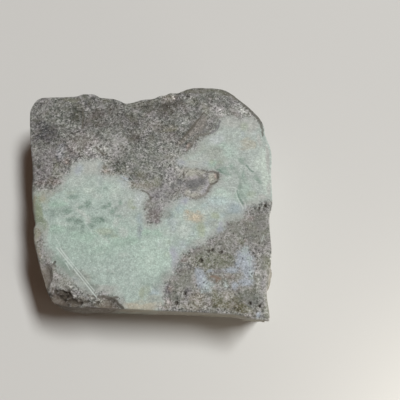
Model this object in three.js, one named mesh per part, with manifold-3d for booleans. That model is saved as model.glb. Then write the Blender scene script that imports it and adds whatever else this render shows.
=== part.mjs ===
// A slab of larimar, sawn from one stone and left rough round most of its rim.
//
// Millimetres, +Z up. The origin is the middle of the underside's bounding box, +X runs to the
// right along the straight sawn front, and -Y faces the viewer.
//
// The stone is an extruded outline whose wall is broken into shallow hollows that meet in ridges,
// as fractured rock is. Two level saw cuts give it its flat top and underside, and chips and scars
// are then broken out of its rim and walls.

import * as THREE from 'three';
import { mergeVertices } from 'three/addons/utils/BufferGeometryUtils.js';
import Module from 'manifold-3d';

// ---- Driving dimensions -------------------------------------------------------------------------

const THICKNESS = 20;

// The rind slopes down from the top by this much of its width, and by at least a worn edge's drop.
const RIND_FALL = 0.8;
const WORN_EDGE_DROP = 0.3;

// Before it is sawn level, the stone reaches this far past both faces.
const OVERSHOOT = 2;
const SAW_BLOCK_SIDE = 120;

// The worn lower edge, the wall's swelling at mid-height and how far its foot draws in, and the
// height over which the wall passes from the rim's outline to broken rock.
const UNDER_EDGE_HEIGHT = 1.2;
const UNDER_EDGE_INSET = 0.5;
const BELLY = 0.5;
const FOOT_LEAN = 2.6;
const FLARE_FALL = 4;
const ROCK_FADE = 5;

// A sawn wall is set back a little below this height, where the cut stopped and the slab snapped.
const SAWN_UP_TO_ROUGH = 0.3;
const LIP_HEIGHT = 4;
const LIP_DEPTH = 0.15;

// Fracture hollows on the wall: how far apart they lie and how far their ridges stand out on a
// fully rough wall. Smooth swells lie under them.
const HOLLOWS = [
  { size: 10.5, push: 2.7 },
  { size: 4.8, push: 1.15 },
];
const SWELL = { size: 16, push: 1.2 };
const HOLLOW_MEAN = 0.42;

// Ledges along the rough wall: the stone below each one stands out by its step. The ledge wanders
// up and down by `wander` as it runs round the stone, and its riser is as high as `riser`.
const LEDGES = [
  { height: 13.2, step: 0.8, wander: 2.6, riser: 1.4 },
  { height: 6.4, step: 0.9, wander: 2.2, riser: 1.8 },
];
const LEDGE_WANDER_SIZE = 14;

// Spacing of the points round the rim, and the number of rows of facets down the wall.
const POINT_SPACING = 1.5;
const WALL_ROWS = 11;

// The rim seen from above, anticlockwise, in sides that meet at sharp corners. Each point is x, y
// and the width of the sloping rind there, from the flat top out to the rim. `rough` says how
// lumpy the side's wall is, from 0, sawn, to 1, natural rock. `flare` is how far the wall's foot
// stands outside the rim at the side's two ends, and it dies away towards the side's middle.
const RIM_SIDES = [
  {
    name: 'sawn front',
    rough: 0.12,
    flare: [1.6, -0.6],
    points: [
      [-24.8, -33.3, 1.6],
      [-19.5, -34.4, 0.9],
      [-13.5, -34.6, 0.5],
      [-8.0, -34.8, 0.4],
      [3.0, -35.4, 0.25],
      [13.0, -35.8, 0.25],
      [21.0, -36.2, 0.25],
      [28.0, -36.7, 0.25],
      [31.8, -37.7, 0.4],
      [36.5, -38.3, 0.6],
    ],
  },
  {
    name: 'broken right',
    rough: 0.75,
    flare: [-0.6, 0],
    points: [
      [36.5, -38.3, 1.0],
      [36.8, -36.2, 1.8],
      [36.4, -32.6, 1.9],
      [36.4, -30.5, 1.8],
      [36.8, -28.8, 2.2],
      [37.5, -25.6, 2.2],
      [38.2, -21.0, 1.6],
      [38.4, -17.8, 1.1],
      [38.3, -14.5, 0.8],
      [38.2, -10.6, 0.7],
      [38.5, -7.2, 0.6],
      [39.4, -4.0, 0.5],
      [39.6, 1.0, 0.5],
      [39.7, 6.5, 0.5],
      [40.1, 10.5, 0.6],
      [40.2, 14.3, 0.8],
      [39.6, 17.2, 1.0],
      [38.7, 20.1, 0.9],
      [38.5, 23.1, 0.9],
    ],
  },
  {
    name: 'natural far side',
    rough: 1,
    flare: [0, 0],
    points: [
      [38.5, 23.1, 0.9],
      [37.4, 26.2, 1.0],
      [34.4, 30.2, 1.0],
      [31.0, 33.6, 1.1],
      [27.5, 36.8, 1.3],
      [25.5, 38.1, 1.6],
      [22.5, 38.8, 1.9],
      [17.2, 39.2, 2.2],
      [13.6, 38.9, 2.2],
      [11.5, 37.9, 1.9],
      [9.4, 36.9, 1.6],
      [6.6, 36.8, 1.6],
      [5.5, 36.1, 1.4],
      [3.7, 35.8, 1.2],
      [1.4, 34.5, 1.0],
      [-2.4, 34.0, 0.9],
      [-6.6, 32.7, 1.0],
      [-8.3, 32.6, 0.9],
      [-10.0, 33.5, 0.8],
      [-12.6, 34.4, 1.0],
      [-17.2, 35.0, 0.9],
      [-18.5, 35.9, 1.0],
      [-19.6, 36.2, 1.1],
      [-23.2, 36.2, 1.0],
      [-24.6, 35.4, 0.7],
      [-29.0, 35.0, 0.6],
      [-34.6, 34.8, 0.6],
      [-36.9, 34.6, 0.7],
      [-38.7, 33.2, 0.7],
      [-39.5, 31.4, 0.6],
    ],
  },
  {
    name: 'worn left',
    rough: 0.4,
    flare: [0, 1.6],
    points: [
      [-39.5, 31.4, 0.6],
      [-39.9, 29.5, 0.5],
      [-39.6, 26.0, 0.4],
      [-38.9, 21.9, 0.4],
      [-37.8, 15.5, 0.5],
      [-36.8, 11.0, 0.8],
      [-36.1, 6.0, 1.8],
      [-35.9, 0.9, 2.9],
      [-34.8, -5.0, 3.1],
      [-33.8, -8.6, 2.8],
      [-33.5, -11.6, 2.5],
      [-32.8, -15.0, 2.0],
      [-31.3, -19.2, 1.6],
      [-29.7, -23.3, 1.5],
      [-28.0, -27.7, 1.8],
      [-26.6, -30.6, 2.0],
      [-24.8, -33.3, 1.6],
    ],
  },
];

// Pieces broken out of the stone, each a rough ellipsoid: its middle, its half-lengths and its turn
// about Z in degrees. The middles lie near or outside the surface, so each leaves a shallow hollow.
const BREAKS = [
  { name: 'front flake', at: [-8.6, -35.2, 21.1], half: [5.0, 3.6, 2.2], turn: -4 },
  { name: 'front corner break', at: [-23.4, -34.3, 21.2], half: [4.6, 3.3, 2.9], turn: -8 },
  { name: 'front corner pit', at: [-17.9, -33.6, 20.7], half: [2.4, 1.6, 2.0], turn: 15 },
  { name: 'corner pocket', at: [-21.2, -31.2, 20.5], half: [1.9, 1.1, 1.6], turn: 35 },
  { name: 'left corner shelf', at: [-28.4, -27.4, 21.9], half: [3.5, 6.4, 3.4], turn: -22 },
  { name: 'left edge nick', at: [-34.2, -10.2, 18.4], half: [1.7, 1.6, 2.2], turn: 0 },
  { name: 'right lower notch', at: [38.9, -31.4, 14.5], half: [3.2, 3.4, 6.6], turn: 4 },
  { name: 'right middle notch', at: [41.0, -12.2, 11.5], half: [4.2, 5.4, 8.2], turn: 0 },
  { name: 'right scar', at: [50.5, 9.5, 6.5], half: [11.6, 13.5, 10.5], turn: 8 },
  { name: 'right foot break', at: [45.0, -21.5, -1.0], half: [8.6, 10.5, 8.2], turn: -5 },
  { name: 'far corner scar', at: [42.6, 38.0, 7.5], half: [13.0, 9.5, 9.8], turn: 42 },
  { name: 'far shoulder scar', at: [15.5, 50.0, 5.5], half: [15.5, 13.0, 11.5], turn: -6 },
  { name: 'far saddle', at: [-7.4, 39.8, 9.5], half: [6.2, 7.8, 12.4], turn: 10 },
  { name: 'far foot break', at: [2.0, 41.5, -0.6], half: [10.5, 7.4, 5.6], turn: -14 },
  { name: 'far left scar', at: [-27.0, 45.0, 5.5], half: [13.5, 11.0, 9.5], turn: 4 },
  { name: 'left foot chip', at: [-39.6, 8.4, -0.8], half: [4.4, 7.6, 3.8], turn: 8 },
  { name: 'left upper chip', at: [-42.2, 20.8, 12.0], half: [3.6, 7.4, 5.4], turn: 12 },
  { name: 'front foot chip', at: [6.8, -38.4, -0.4], half: [8.4, 3.9, 2.6], turn: -3 },
  { name: 'right corner chip', at: [35.8, -41.3, 1.0], half: [6.6, 4.0, 12.0], turn: 0 },
];
const BREAK_ROUGHNESS = 0.13;
const BREAK_GRAIN = 0.62;

const STONE_COLOUR = 0x8fa095;

// ---- Rock texture: steady values on a lattice ----------------------------------------------------

function cornerValue(i, j, k) {
  const wave = Math.sin(i * 12.9898 + j * 78.233 + k * 37.719) * 4375.5453;
  return wave - Math.floor(wave);
}

function ease(t) {
  return t * t * (3 - 2 * t);
}

function mix(a, b, t) {
  return a + (b - a) * t;
}

// Smooth swells from -1 to 1: the eight lattice corners round a point, blended.
function swell(x, y, z) {
  const [i, j, k] = [Math.floor(x), Math.floor(y), Math.floor(z)];
  const [u, v, w] = [ease(x - i), ease(y - j), ease(z - k)];
  const row = (b, c) => mix(cornerValue(i, b, c), cornerValue(i + 1, b, c), u);
  const level = mix(mix(row(j, k), row(j + 1, k), v), mix(row(j, k + 1), row(j + 1, k + 1), v), w);
  return 2 * level - 1;
}

// Hollows from 0 up: the squared distance to the nearest of one seed in each lattice cell, so each
// seed is the bottom of a bowl and the bowls meet in sharp ridges.
function hollow(x, y, z) {
  const steps = [-1, 0, 1];
  let nearest = Infinity;
  for (const i of steps.map((step) => step + Math.floor(x))) {
    for (const j of steps.map((step) => step + Math.floor(y))) {
      for (const k of steps.map((step) => step + Math.floor(z))) {
        const dx = i + cornerValue(i, j, k) - x;
        const dy = j + cornerValue(j, k, i) - y;
        const dz = k + cornerValue(k, i, j) - z;
        nearest = Math.min(nearest, dx * dx + dy * dy + dz * dz);
      }
    }
  }
  return nearest;
}

function rockPush(x, y, z) {
  const broken = HOLLOWS.reduce((sum, { size, push }) => (
    sum + push * (hollow(x / size, y / size, z / size) - HOLLOW_MEAN)
  ), 0);
  return broken + SWELL.push * swell(x / SWELL.size, y / SWELL.size, z / SWELL.size);
}

function ledgePush(x, y, z) {
  return LEDGES.reduce((sum, { height, step, wander, riser }) => {
    const line = height + wander * swell(x / LEDGE_WANDER_SIZE, y / LEDGE_WANDER_SIZE, height);
    return sum + step * ease(THREE.MathUtils.clamp((line - z) / riser + 0.5, 0, 1));
  }, 0);
}

// ---- The rim: evenly spaced points, each with its outward direction, rind and roughness ---------

function traceSide(side) {
  const curve = new THREE.CatmullRomCurve3(side.points.map((p) => new THREE.Vector3(...p)), false);
  const count = Math.round(curve.getLength() / POINT_SPACING);
  const spaced = curve.getSpacedPoints(count).slice(0, -1);
  return spaced.map((p, i) => ({
    x: p.x,
    y: p.y,
    rind: p.z,
    rough: side.rough,
    flare: side.flare[0] * (1 - i / count) ** FLARE_FALL + side.flare[1] * (i / count) ** FLARE_FALL,
  }));
}

function traceRim() {
  const rim = RIM_SIDES.flatMap(traceSide);
  const near = (list, i, step) => list[(i + step + list.length) % list.length];
  return rim.map((point, i) => {
    const [before, after] = [near(rim, i, -1), near(rim, i, 1)];
    const outward = new THREE.Vector2(after.y - before.y, before.x - after.x).normalize();
    const neighbours = [-2, -1, 0, 1, 2].map((step) => near(rim, i, step));
    const rough = neighbours.reduce((sum, n) => sum + n.rough, 0) / neighbours.length;
    return { ...point, rough, outward };
  });
}

// ---- The wall: how high each row stands, and how far it lies outside the rim ---------------------

function rindFoot(rind) {
  return THICKNESS - Math.max(rind * RIND_FALL, WORN_EDGE_DROP);
}

function rowHeight(row, rind) {
  if (row === 0) return -OVERSHOOT;
  if (row === WALL_ROWS) return THICKNESS + OVERSHOOT;
  return mix(UNDER_EDGE_HEIGHT, rindFoot(rind), (row - 1) / (WALL_ROWS - 2));
}

function wallOffset({ x, y, rind, rough, flare }, height) {
  const foot = rindFoot(rind);
  if (height >= foot) return -rind * (height - foot) / (THICKNESS - foot);
  const depth = (foot - height) / foot;
  const fade = ease(Math.min(1, (foot - height) / ROCK_FADE));
  const belly = rough * BELLY * Math.sin(Math.PI * depth);
  const lean = -rough * FOOT_LEAN * depth * depth;
  const lip = rough < SAWN_UP_TO_ROUGH && height < LIP_HEIGHT ? -LIP_DEPTH : 0;
  const under = UNDER_EDGE_INSET * Math.min(0, height / UNDER_EDGE_HEIGHT - 1);
  const rock = rough * (rockPush(x, y, height) + ledgePush(x, y, height));
  return fade * (rock + belly) + flare * depth + lean + lip + under;
}

// ---- Solids ---------------------------------------------------------------------------------------

const wasm = await Module();
wasm.setup();

function bare(geometry) {
  geometry.deleteAttribute('normal');
  geometry.deleteAttribute('uv');
  return geometry;
}

function toSolid(geometry) {
  const merged = mergeVertices(bare(geometry), 1e-4);
  return new wasm.Manifold(new wasm.Mesh({
    numProp: 3,
    vertProperties: new Float32Array(merged.attributes.position.array),
    triVerts: new Uint32Array(merged.index.array),
  }));
}

function toGeometry(solid) {
  const mesh = solid.getMesh();
  const geometry = new THREE.BufferGeometry();
  geometry.setAttribute('position', new THREE.BufferAttribute(mesh.vertProperties, 3));
  geometry.setIndex(new THREE.BufferAttribute(mesh.triVerts, 1));
  geometry.computeVertexNormals();
  return geometry;
}

function brokenStone() {
  const rim = traceRim();
  const shape = new THREE.Shape(rim.map((point) => new THREE.Vector2(point.x, point.y)));
  const rows = { depth: WALL_ROWS, steps: WALL_ROWS, bevelEnabled: false };
  const geometry = new THREE.ExtrudeGeometry(shape, rows);
  const key = (x, y) => `${Math.fround(x)} ${Math.fround(y)}`;
  const rimPoint = new Map(rim.map((point) => [key(point.x, point.y), point]));
  const position = geometry.attributes.position;
  for (let i = 0; i < position.count; i += 1) {
    const point = rimPoint.get(key(position.getX(i), position.getY(i)));
    const height = rowHeight(Math.round(position.getZ(i)), point.rind);
    const offset = wallOffset(point, height);
    position.setXYZ(i, point.x + point.outward.x * offset, point.y + point.outward.y * offset, height);
  }
  return toSolid(geometry);
}

function sawnBetweenLevels(stone) {
  const block = new THREE.BoxGeometry(SAW_BLOCK_SIDE, SAW_BLOCK_SIDE, THICKNESS);
  block.translate(0, 0, THICKNESS / 2);
  return stone.intersect(toSolid(block));
}

function breakSolid({ at, half, turn }) {
  const piece = mergeVertices(bare(new THREE.IcosahedronGeometry(1, 2)), 1e-4);
  const position = piece.attributes.position;
  for (let i = 0; i < position.count; i += 1) {
    const corner = new THREE.Vector3().fromBufferAttribute(position, i);
    const grain = corner.clone().add(new THREE.Vector3(...at)).divideScalar(BREAK_GRAIN);
    corner.multiplyScalar(1 + BREAK_ROUGHNESS * swell(grain.x, grain.y, grain.z));
    position.setXYZ(i, ...corner);
  }
  piece.scale(...half);
  piece.rotateZ(THREE.MathUtils.degToRad(turn));
  piece.translate(...at);
  return toSolid(piece);
}

function centred(geometry) {
  geometry.computeBoundingBox();
  const middle = geometry.boundingBox.getCenter(new THREE.Vector3());
  return geometry.translate(-middle.x, -middle.y, 0);
}

function makeSlab() {
  const stone = sawnBetweenLevels(brokenStone());
  const chipped = BREAKS.reduce((solid, piece) => solid.subtract(breakSolid(piece)), stone);
  const material = new THREE.MeshStandardMaterial({ color: STONE_COLOUR, roughness: 0.62, metalness: 0 });
  const slab = new THREE.Mesh(centred(toGeometry(chipped)), material);
  slab.name = 'larimar_slab';
  return slab;
}

const part = new THREE.Group();
part.add(makeSlab());

export default part;
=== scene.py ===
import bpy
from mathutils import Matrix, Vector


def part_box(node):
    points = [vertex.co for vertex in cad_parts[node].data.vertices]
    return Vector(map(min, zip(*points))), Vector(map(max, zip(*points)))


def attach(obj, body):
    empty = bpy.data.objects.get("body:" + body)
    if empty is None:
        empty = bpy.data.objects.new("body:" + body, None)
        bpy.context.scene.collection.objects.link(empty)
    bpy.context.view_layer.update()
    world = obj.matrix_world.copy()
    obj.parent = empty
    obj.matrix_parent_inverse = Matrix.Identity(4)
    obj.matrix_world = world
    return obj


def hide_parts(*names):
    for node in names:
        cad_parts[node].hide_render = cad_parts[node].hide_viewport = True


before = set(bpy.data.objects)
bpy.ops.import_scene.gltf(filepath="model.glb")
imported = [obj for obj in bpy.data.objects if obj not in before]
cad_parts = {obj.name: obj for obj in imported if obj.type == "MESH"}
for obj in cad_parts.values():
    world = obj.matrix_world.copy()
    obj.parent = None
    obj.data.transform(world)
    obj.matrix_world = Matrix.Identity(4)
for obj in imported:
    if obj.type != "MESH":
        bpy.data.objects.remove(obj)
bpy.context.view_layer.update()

# A slab of larimar: pale blue-green pectolite in grey basalt, sawn flat on top, underneath and
# along its front, and rough round the rest of its rim.
#
# Every size and place below is in millimetres. Places on the slab are x, y and height, measured
# before the slab is centred on the frame's origin. MM turns them into Blender's metres.

import math

import bpy
import numpy as np
from mathutils import Vector

MM = 0.001

NODE = "larimar_slab"
low_corner, high_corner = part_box(NODE)
THICKNESS = (high_corner.z - low_corner.z) / MM

# The middle of the finished solid's box, measured as the rim's points are.
RIM_MIDDLE = (0.2796, 1.1655)

# ---- The rim ----
#
# The rim seen from above, anticlockwise, in four sides. Each point is x, y and the width of the
# sloping rind there. `rough` runs from 0, sawn, to 1, natural rock. `flare` is how far the wall's
# foot stands outside the rim at the side's two ends, and it dies away towards the side's middle.
# `cells` is how many mesh cells the side is cut into. Facing sides have the same number of cells.

RIM_SIDES = {
    "sawn front": {
        "rough": 0.12,
        "flare": (1.6, -0.6),
        "cells": 220,
        "points": [
            (-24.8, -33.3, 1.6), (-19.5, -34.4, 0.9), (-13.5, -34.6, 0.5), (-8.0, -34.8, 0.4),
            (3.0, -35.4, 0.25), (13.0, -35.8, 0.25), (21.0, -36.2, 0.25), (28.0, -36.7, 0.25),
            (31.8, -37.7, 0.4), (36.5, -38.3, 0.6),
        ],
    },
    "broken right": {
        "rough": 0.75,
        "flare": (-0.6, 0.0),
        "cells": 180,
        "points": [
            (36.5, -38.3, 1.0), (36.8, -36.2, 1.8), (36.4, -32.6, 1.9), (36.4, -30.5, 1.8),
            (36.8, -28.8, 2.2), (37.5, -25.6, 2.2), (38.2, -21.0, 1.6), (38.4, -17.8, 1.1),
            (38.3, -14.5, 0.8), (38.2, -10.6, 0.7), (38.5, -7.2, 0.6), (39.4, -4.0, 0.5),
            (39.6, 1.0, 0.5), (39.7, 6.5, 0.5), (40.1, 10.5, 0.6), (40.2, 14.3, 0.8),
            (39.6, 17.2, 1.0), (38.7, 20.1, 0.9), (38.5, 23.1, 0.9),
        ],
    },
    "natural far side": {
        "rough": 1.0,
        "flare": (0.0, 0.0),
        "cells": 220,
        "points": [
            (38.5, 23.1, 0.9), (37.4, 26.2, 1.0), (34.4, 30.2, 1.0), (31.0, 33.6, 1.1),
            (27.5, 36.8, 1.3), (25.5, 38.1, 1.6), (22.5, 38.8, 1.9), (17.2, 39.2, 2.2),
            (13.6, 38.9, 2.2), (11.5, 37.9, 1.9), (9.4, 36.9, 1.6), (6.6, 36.8, 1.6),
            (5.5, 36.1, 1.4), (3.7, 35.8, 1.2), (1.4, 34.5, 1.0), (-2.4, 34.0, 0.9),
            (-6.6, 32.7, 1.0), (-8.3, 32.6, 0.9), (-10.0, 33.5, 0.8), (-12.6, 34.4, 1.0),
            (-17.2, 35.0, 0.9), (-18.5, 35.9, 1.0), (-19.6, 36.2, 1.1), (-23.2, 36.2, 1.0),
            (-24.6, 35.4, 0.7), (-29.0, 35.0, 0.6), (-34.6, 34.8, 0.6), (-36.9, 34.6, 0.7),
            (-38.7, 33.2, 0.7), (-39.5, 31.4, 0.6),
        ],
    },
    "worn left": {
        "rough": 0.4,
        "flare": (0.0, 1.6),
        "cells": 180,
        "points": [
            (-39.5, 31.4, 0.6), (-39.9, 29.5, 0.5), (-39.6, 26.0, 0.4), (-38.9, 21.9, 0.4),
            (-37.8, 15.5, 0.5), (-36.8, 11.0, 0.8), (-36.1, 6.0, 1.8), (-35.9, 0.9, 2.9),
            (-34.8, -5.0, 3.1), (-33.8, -8.6, 2.8), (-33.5, -11.6, 2.5), (-32.8, -15.0, 2.0),
            (-31.3, -19.2, 1.6), (-29.7, -23.3, 1.5), (-28.0, -27.7, 1.8), (-26.6, -30.6, 2.0),
            (-24.8, -33.3, 1.6),
        ],
    },
}
OUTWARD_REACH = 4      # cells to each side that a point's outward direction is taken over
ROUGH_BLEND = 9        # cells to each side over which one side's roughness passes into the next's

# ---- The wall ----

RIND_FALL = 0.8            # how far the rind falls, as a share of its width
RIND_FULLNESS = 2.6        # the power of the rind's rounding
WORN_EDGE_DROP = 0.3       # the least that the rind falls
UNDER_EDGE_HEIGHT = 1.2    # the worn lower edge: how high it begins and how far it draws in
UNDER_EDGE_INSET = 0.5
BELLY = 0.5                # how far rough rock bulges at half height
FOOT_LEAN = 2.6            # how far its foot draws in
FLARE_FALL = 4             # the power by which a side's flare dies away along it
ROCK_FADE = 5.0            # how far below the rind the rock's lumps come in
SAWN_UP_TO_ROUGH = 0.3     # sides smoother than this are sawn
LIP_HEIGHT = 4.0           # the step low on a sawn side
LIP_DEPTH = 0.15
SAWN_TOOTH = 0.35          # how much of the fine tooth a sawn side has
TOOTH_FADE = 0.6           # how far below the top the tooth comes in

RIND_ROWS = 7
WALL_ROWS = 27
UNDER_EDGE_ROWS = 4
UNDERSIDE_RINGS = 29

# Fracture hollows: how far apart they lie and how far their ridges stand out on rough rock. The
# first two are the stone's main forms, and the fine ones are its broken grain.
MAIN_HOLLOWS = [(10.5, 2.7), (4.8, 1.15)]
FINE_HOLLOWS = [(2.1, 0.42), (1.0, 0.2)]
HOLLOW_MEAN = 0.42
SWELL_SIZE = 16.0
SWELL_PUSH = 1.2
GRAIN_SWELLS = [(1.5, 0.1), (0.7, 0.07)]

# Ledges: height, step, how far the ledge wanders up and down, and the height of its riser.
LEDGES = [(13.2, 0.8, 2.6, 1.4), (6.4, 0.9, 2.2, 1.8)]
LEDGE_WANDER_SIZE = 14.0

# Pieces broken out of the stone, each a rough ellipsoid: its middle, its half-lengths and its turn
# about Z in degrees. The first kind bites down into the sawn top, the second into the wall.
TOP_BREAKS = [
    ((-8.6, -35.2, 21.1), (5.0, 3.6, 2.2), -4),       # front flake
    ((-23.4, -34.3, 21.2), (4.6, 3.3, 2.9), -8),      # front corner break
    ((-17.9, -33.6, 20.7), (2.4, 1.6, 2.0), 15),      # front corner pit
    ((-21.2, -31.2, 20.5), (1.9, 1.1, 1.6), 35),      # corner pocket
    ((-28.4, -27.4, 21.9), (3.5, 6.4, 3.4), -22),     # left corner shelf
]
WALL_BREAKS = [
    ((-34.2, -10.2, 18.4), (1.7, 1.6, 2.2), 0),       # left edge nick
    ((38.9, -31.4, 14.5), (3.2, 3.4, 6.6), 4),        # right lower notch
    ((41.0, -12.2, 11.5), (4.2, 5.4, 8.2), 0),        # right middle notch
    ((50.5, 9.5, 6.5), (11.6, 13.5, 10.5), 8),        # right scar
    ((45.0, -21.5, -1.0), (8.6, 10.5, 8.2), -5),      # right foot break
    ((42.6, 38.0, 7.5), (13.0, 9.5, 9.8), 42),        # far corner scar
    ((15.5, 50.0, 5.5), (15.5, 13.0, 11.5), -6),      # far shoulder scar
    ((-7.4, 39.8, 9.5), (6.2, 7.8, 12.4), 10),        # far saddle
    ((2.0, 41.5, -0.6), (10.5, 7.4, 5.6), -14),       # far foot break
    ((-27.0, 45.0, 5.5), (13.5, 11.0, 9.5), 4),       # far left scar
    ((-39.6, 8.4, -0.8), (4.4, 7.6, 3.8), 8),         # left foot chip
    ((-42.2, 20.8, 12.0), (3.6, 7.4, 5.4), 12),       # left upper chip
    ((6.8, -38.4, -0.4), (8.4, 3.9, 2.6), -3),        # front foot chip
    ((35.8, -41.3, 1.0), (6.6, 4.0, 12.0), 0),        # right corner chip
]
BREAK_ROUGHNESS = 0.13     # how far a break's face swells, in half-lengths, and the swells' size
BREAK_GRAIN = 0.62
BREAK_ROUNDS = 3           # times that a break's end is looked for again on its rough face
TINY = 1e-9                # keeps a direction of no length from dividing by 0

# Pits in the sawn top, each an ellipse: x, y, half-lengths, depth and, where it is turned, its turn
# in degrees. The first rows are the broken corner's pockets and the rest are gas bubbles.
PITS = [
    (-22.3, -30.3, 1.5, 0.6, 0.9, -12), (-22, -31.9, 1.3, 1, 1.3, 10), (-20.3, -31.2, 1, 1.3, 0.5, 35),
    (-19, -32.9, 1.4, 0.7, 0.6, -8), (-17.2, -33.5, 1.5, 0.5, 0.4, 5), (-15, -33, 0.8, 0.4, 0.3),
    (-13.2, -34.2, 1.4, 0.35, 0.6, -6), (-11.9, -33.2, 0.6, 0.5, 0.4), (-24.6, -30.4, 1.1, 0.5, 0.5, 20),
    (-25.4, -22, 0.7, 0.4, 0.3, 50), (-34.2, 8.6, 0.6, 0.45, 0.6, 20), (19.8, -18.4, 0.55, 0.4, 0.8),
    (20.8, -18.1, 0.5, 0.4, 0.8, 20), (23.4, -18.9, 0.6, 0.4, 0.8, 10), (17.4, -21.3, 0.6, 0.7, 0.9, 30),
    (12.8, -30.8, 0.5, 0.5, 0.8), (10.5, -33.4, 0.55, 0.5, 0.8), (37.2, -4.3, 0.5, 0.6, 0.7),
    (35.3, -5.2, 0.35, 0.45, 0.4), (34, -34.3, 0.45, 0.4, 0.8), (31.3, -33.5, 0.45, 0.4, 0.8),
    (5.1, 5.4, 0.3, 0.3, 0.3), (12.2, 3.9, 0.35, 0.3, 0.3), (-3.6, 19.2, 0.4, 0.3, 0.3),
    (-9.1, 10.5, 0.4, 0.3, 0.3), (-12.9, 29.9, 0.35, 0.35, 0.3),
]

# Broken, crumbly ground on the sawn top, in the same form.
CRUMBLED = [
    (-25.6, -26.4, 3.4, 5.2, 0.3, 18), (-21.5, -31, 4.2, 2.2, 0.75, -16), (-14.5, -33.2, 5, 1.1, 0.5, -6),
    (-27.8, -21.4, 1.6, 3, 0.3, 18), (-8.5, -33.4, 4, 1.3, 0.3, -3), (-18.6, -29.8, 2.4, 1, 0.25, -35),
]
CRUMBLED_REACH = 1.2       # in half-lengths, how far out a patch reaches, and how wide its easing is
CRUMBLED_EASING = 0.6
CRUMBLED_WALL_FADE = 2.5   # how far down the wall the crumbling dies away
CRUMBS = [(2.6, 0.55), (1.2, 0.45)]     # the crumbs' bowls: size and height
CRUMB_FLOOR = 1.1          # how deep a bowl's floor lies, how far its ridges rise, and the limits
CRUMB_RIDGE = 1.6
CRUMB_LIMITS = (0.1, 1.2)

# ---- The pattern in the stone ----
#
# The pattern is traced on the sawn top and runs down through the stone on a slant, so the walls
# and the underside show it shifted by SLANT times their depth.

SLANT = (0.34, 0.2)

# The larimar's edge, clockwise from the left rim over the top of both lobes and back along the
# front. It leaves the slab at the rim, so points there lie outside it.
LARIMAR_EDGE = [
    (-38, 0.3), (-33.5, 0.3), (-30.8, -0.2), (-28.6, 0.4), (-27, 2), (-25.9, 4.6), (-24.3, 6.4),
    (-23.5, 8.1), (-22.8, 9.6), (-21.5, 10.8), (-19.8, 10.9), (-18, 11.2), (-15.4, 11.2), (-14.2, 10.4),
    (-14.4, 8.5), (-14.6, 6.8), (-13.2, 5.7), (-11, 5.5), (-9, 5.6), (-7.6, 5.4), (-6.3, 4.6), (-5.3, 3.3),
    (-4.9, 1.6), (-3.4, 0.9), (-1.6, 0.6), (-0.2, 0), (0.7, -1.2), (0.3, -3.2), (0.2, -5), (0.3, -7),
    (0.4, -9.8), (1.4, -10.9), (3.6, -10.8), (5, -9.6), (5.6, -7.6), (6.6, -5.8), (8.6, -4.4), (9.8, -3),
    (11, -1.6), (12.6, -1.4), (14.2, -2.4), (16.4, -2.8), (18.6, -1.8), (20.2, 0.2), (21.2, 2), (23, 3),
    (24.2, 4.8), (23.9, 7), (22.2, 8.1), (20, 7.8), (18.2, 8.8), (15.4, 8.4), (12.6, 8.6), (10.2, 9.2),
    (9.6, 10.8), (10.6, 12), (12.4, 13.2), (14, 14.2), (15.8, 15.6), (17, 17.6), (18.6, 18.8), (20, 19.9),
    (21.5, 21), (22.8, 22.6), (23.8, 24.3), (24.7, 26), (26.2, 26.8), (28.2, 26.6), (30.5, 26),
    (32.8, 26.4), (35, 26), (37, 24.2), (44, 22), (44, 8), (42, -2.6), (36.5, -2.8), (34.6, -3.8),
    (33, -4.2), (31.2, -4.8), (30.2, -6.2), (29.4, -8), (27, -8.6), (25.2, -9.2), (24.4, -11.2),
    (23.4, -12.4), (21.2, -13), (19.6, -14.4), (18.2, -16), (16, -16.3), (14.6, -17), (13.2, -18.4),
    (11.8, -19.4), (10.8, -20.6), (10.2, -22.2), (9.6, -23.6), (9.2, -25.4), (7.5, -27), (6.6, -28.8),
    (7.3, -31), (7, -33.2), (5.6, -34.6), (5, -39), (-4, -39), (-4.4, -34.6), (-5.4, -32.6), (-6.4, -31.2),
    (-8.4, -30.7), (-10.6, -30.3), (-12.5, -30.5), (-14.8, -30.2), (-16.8, -29.3), (-18.6, -27.8),
    (-20.2, -26.4), (-21.8, -25.3), (-23.6, -24), (-24.9, -22.6), (-26, -21.2), (-27.2, -19.6),
    (-28.3, -17.4), (-29.4, -14.4), (-31, -11.8), (-38, -10.6),
]

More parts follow.
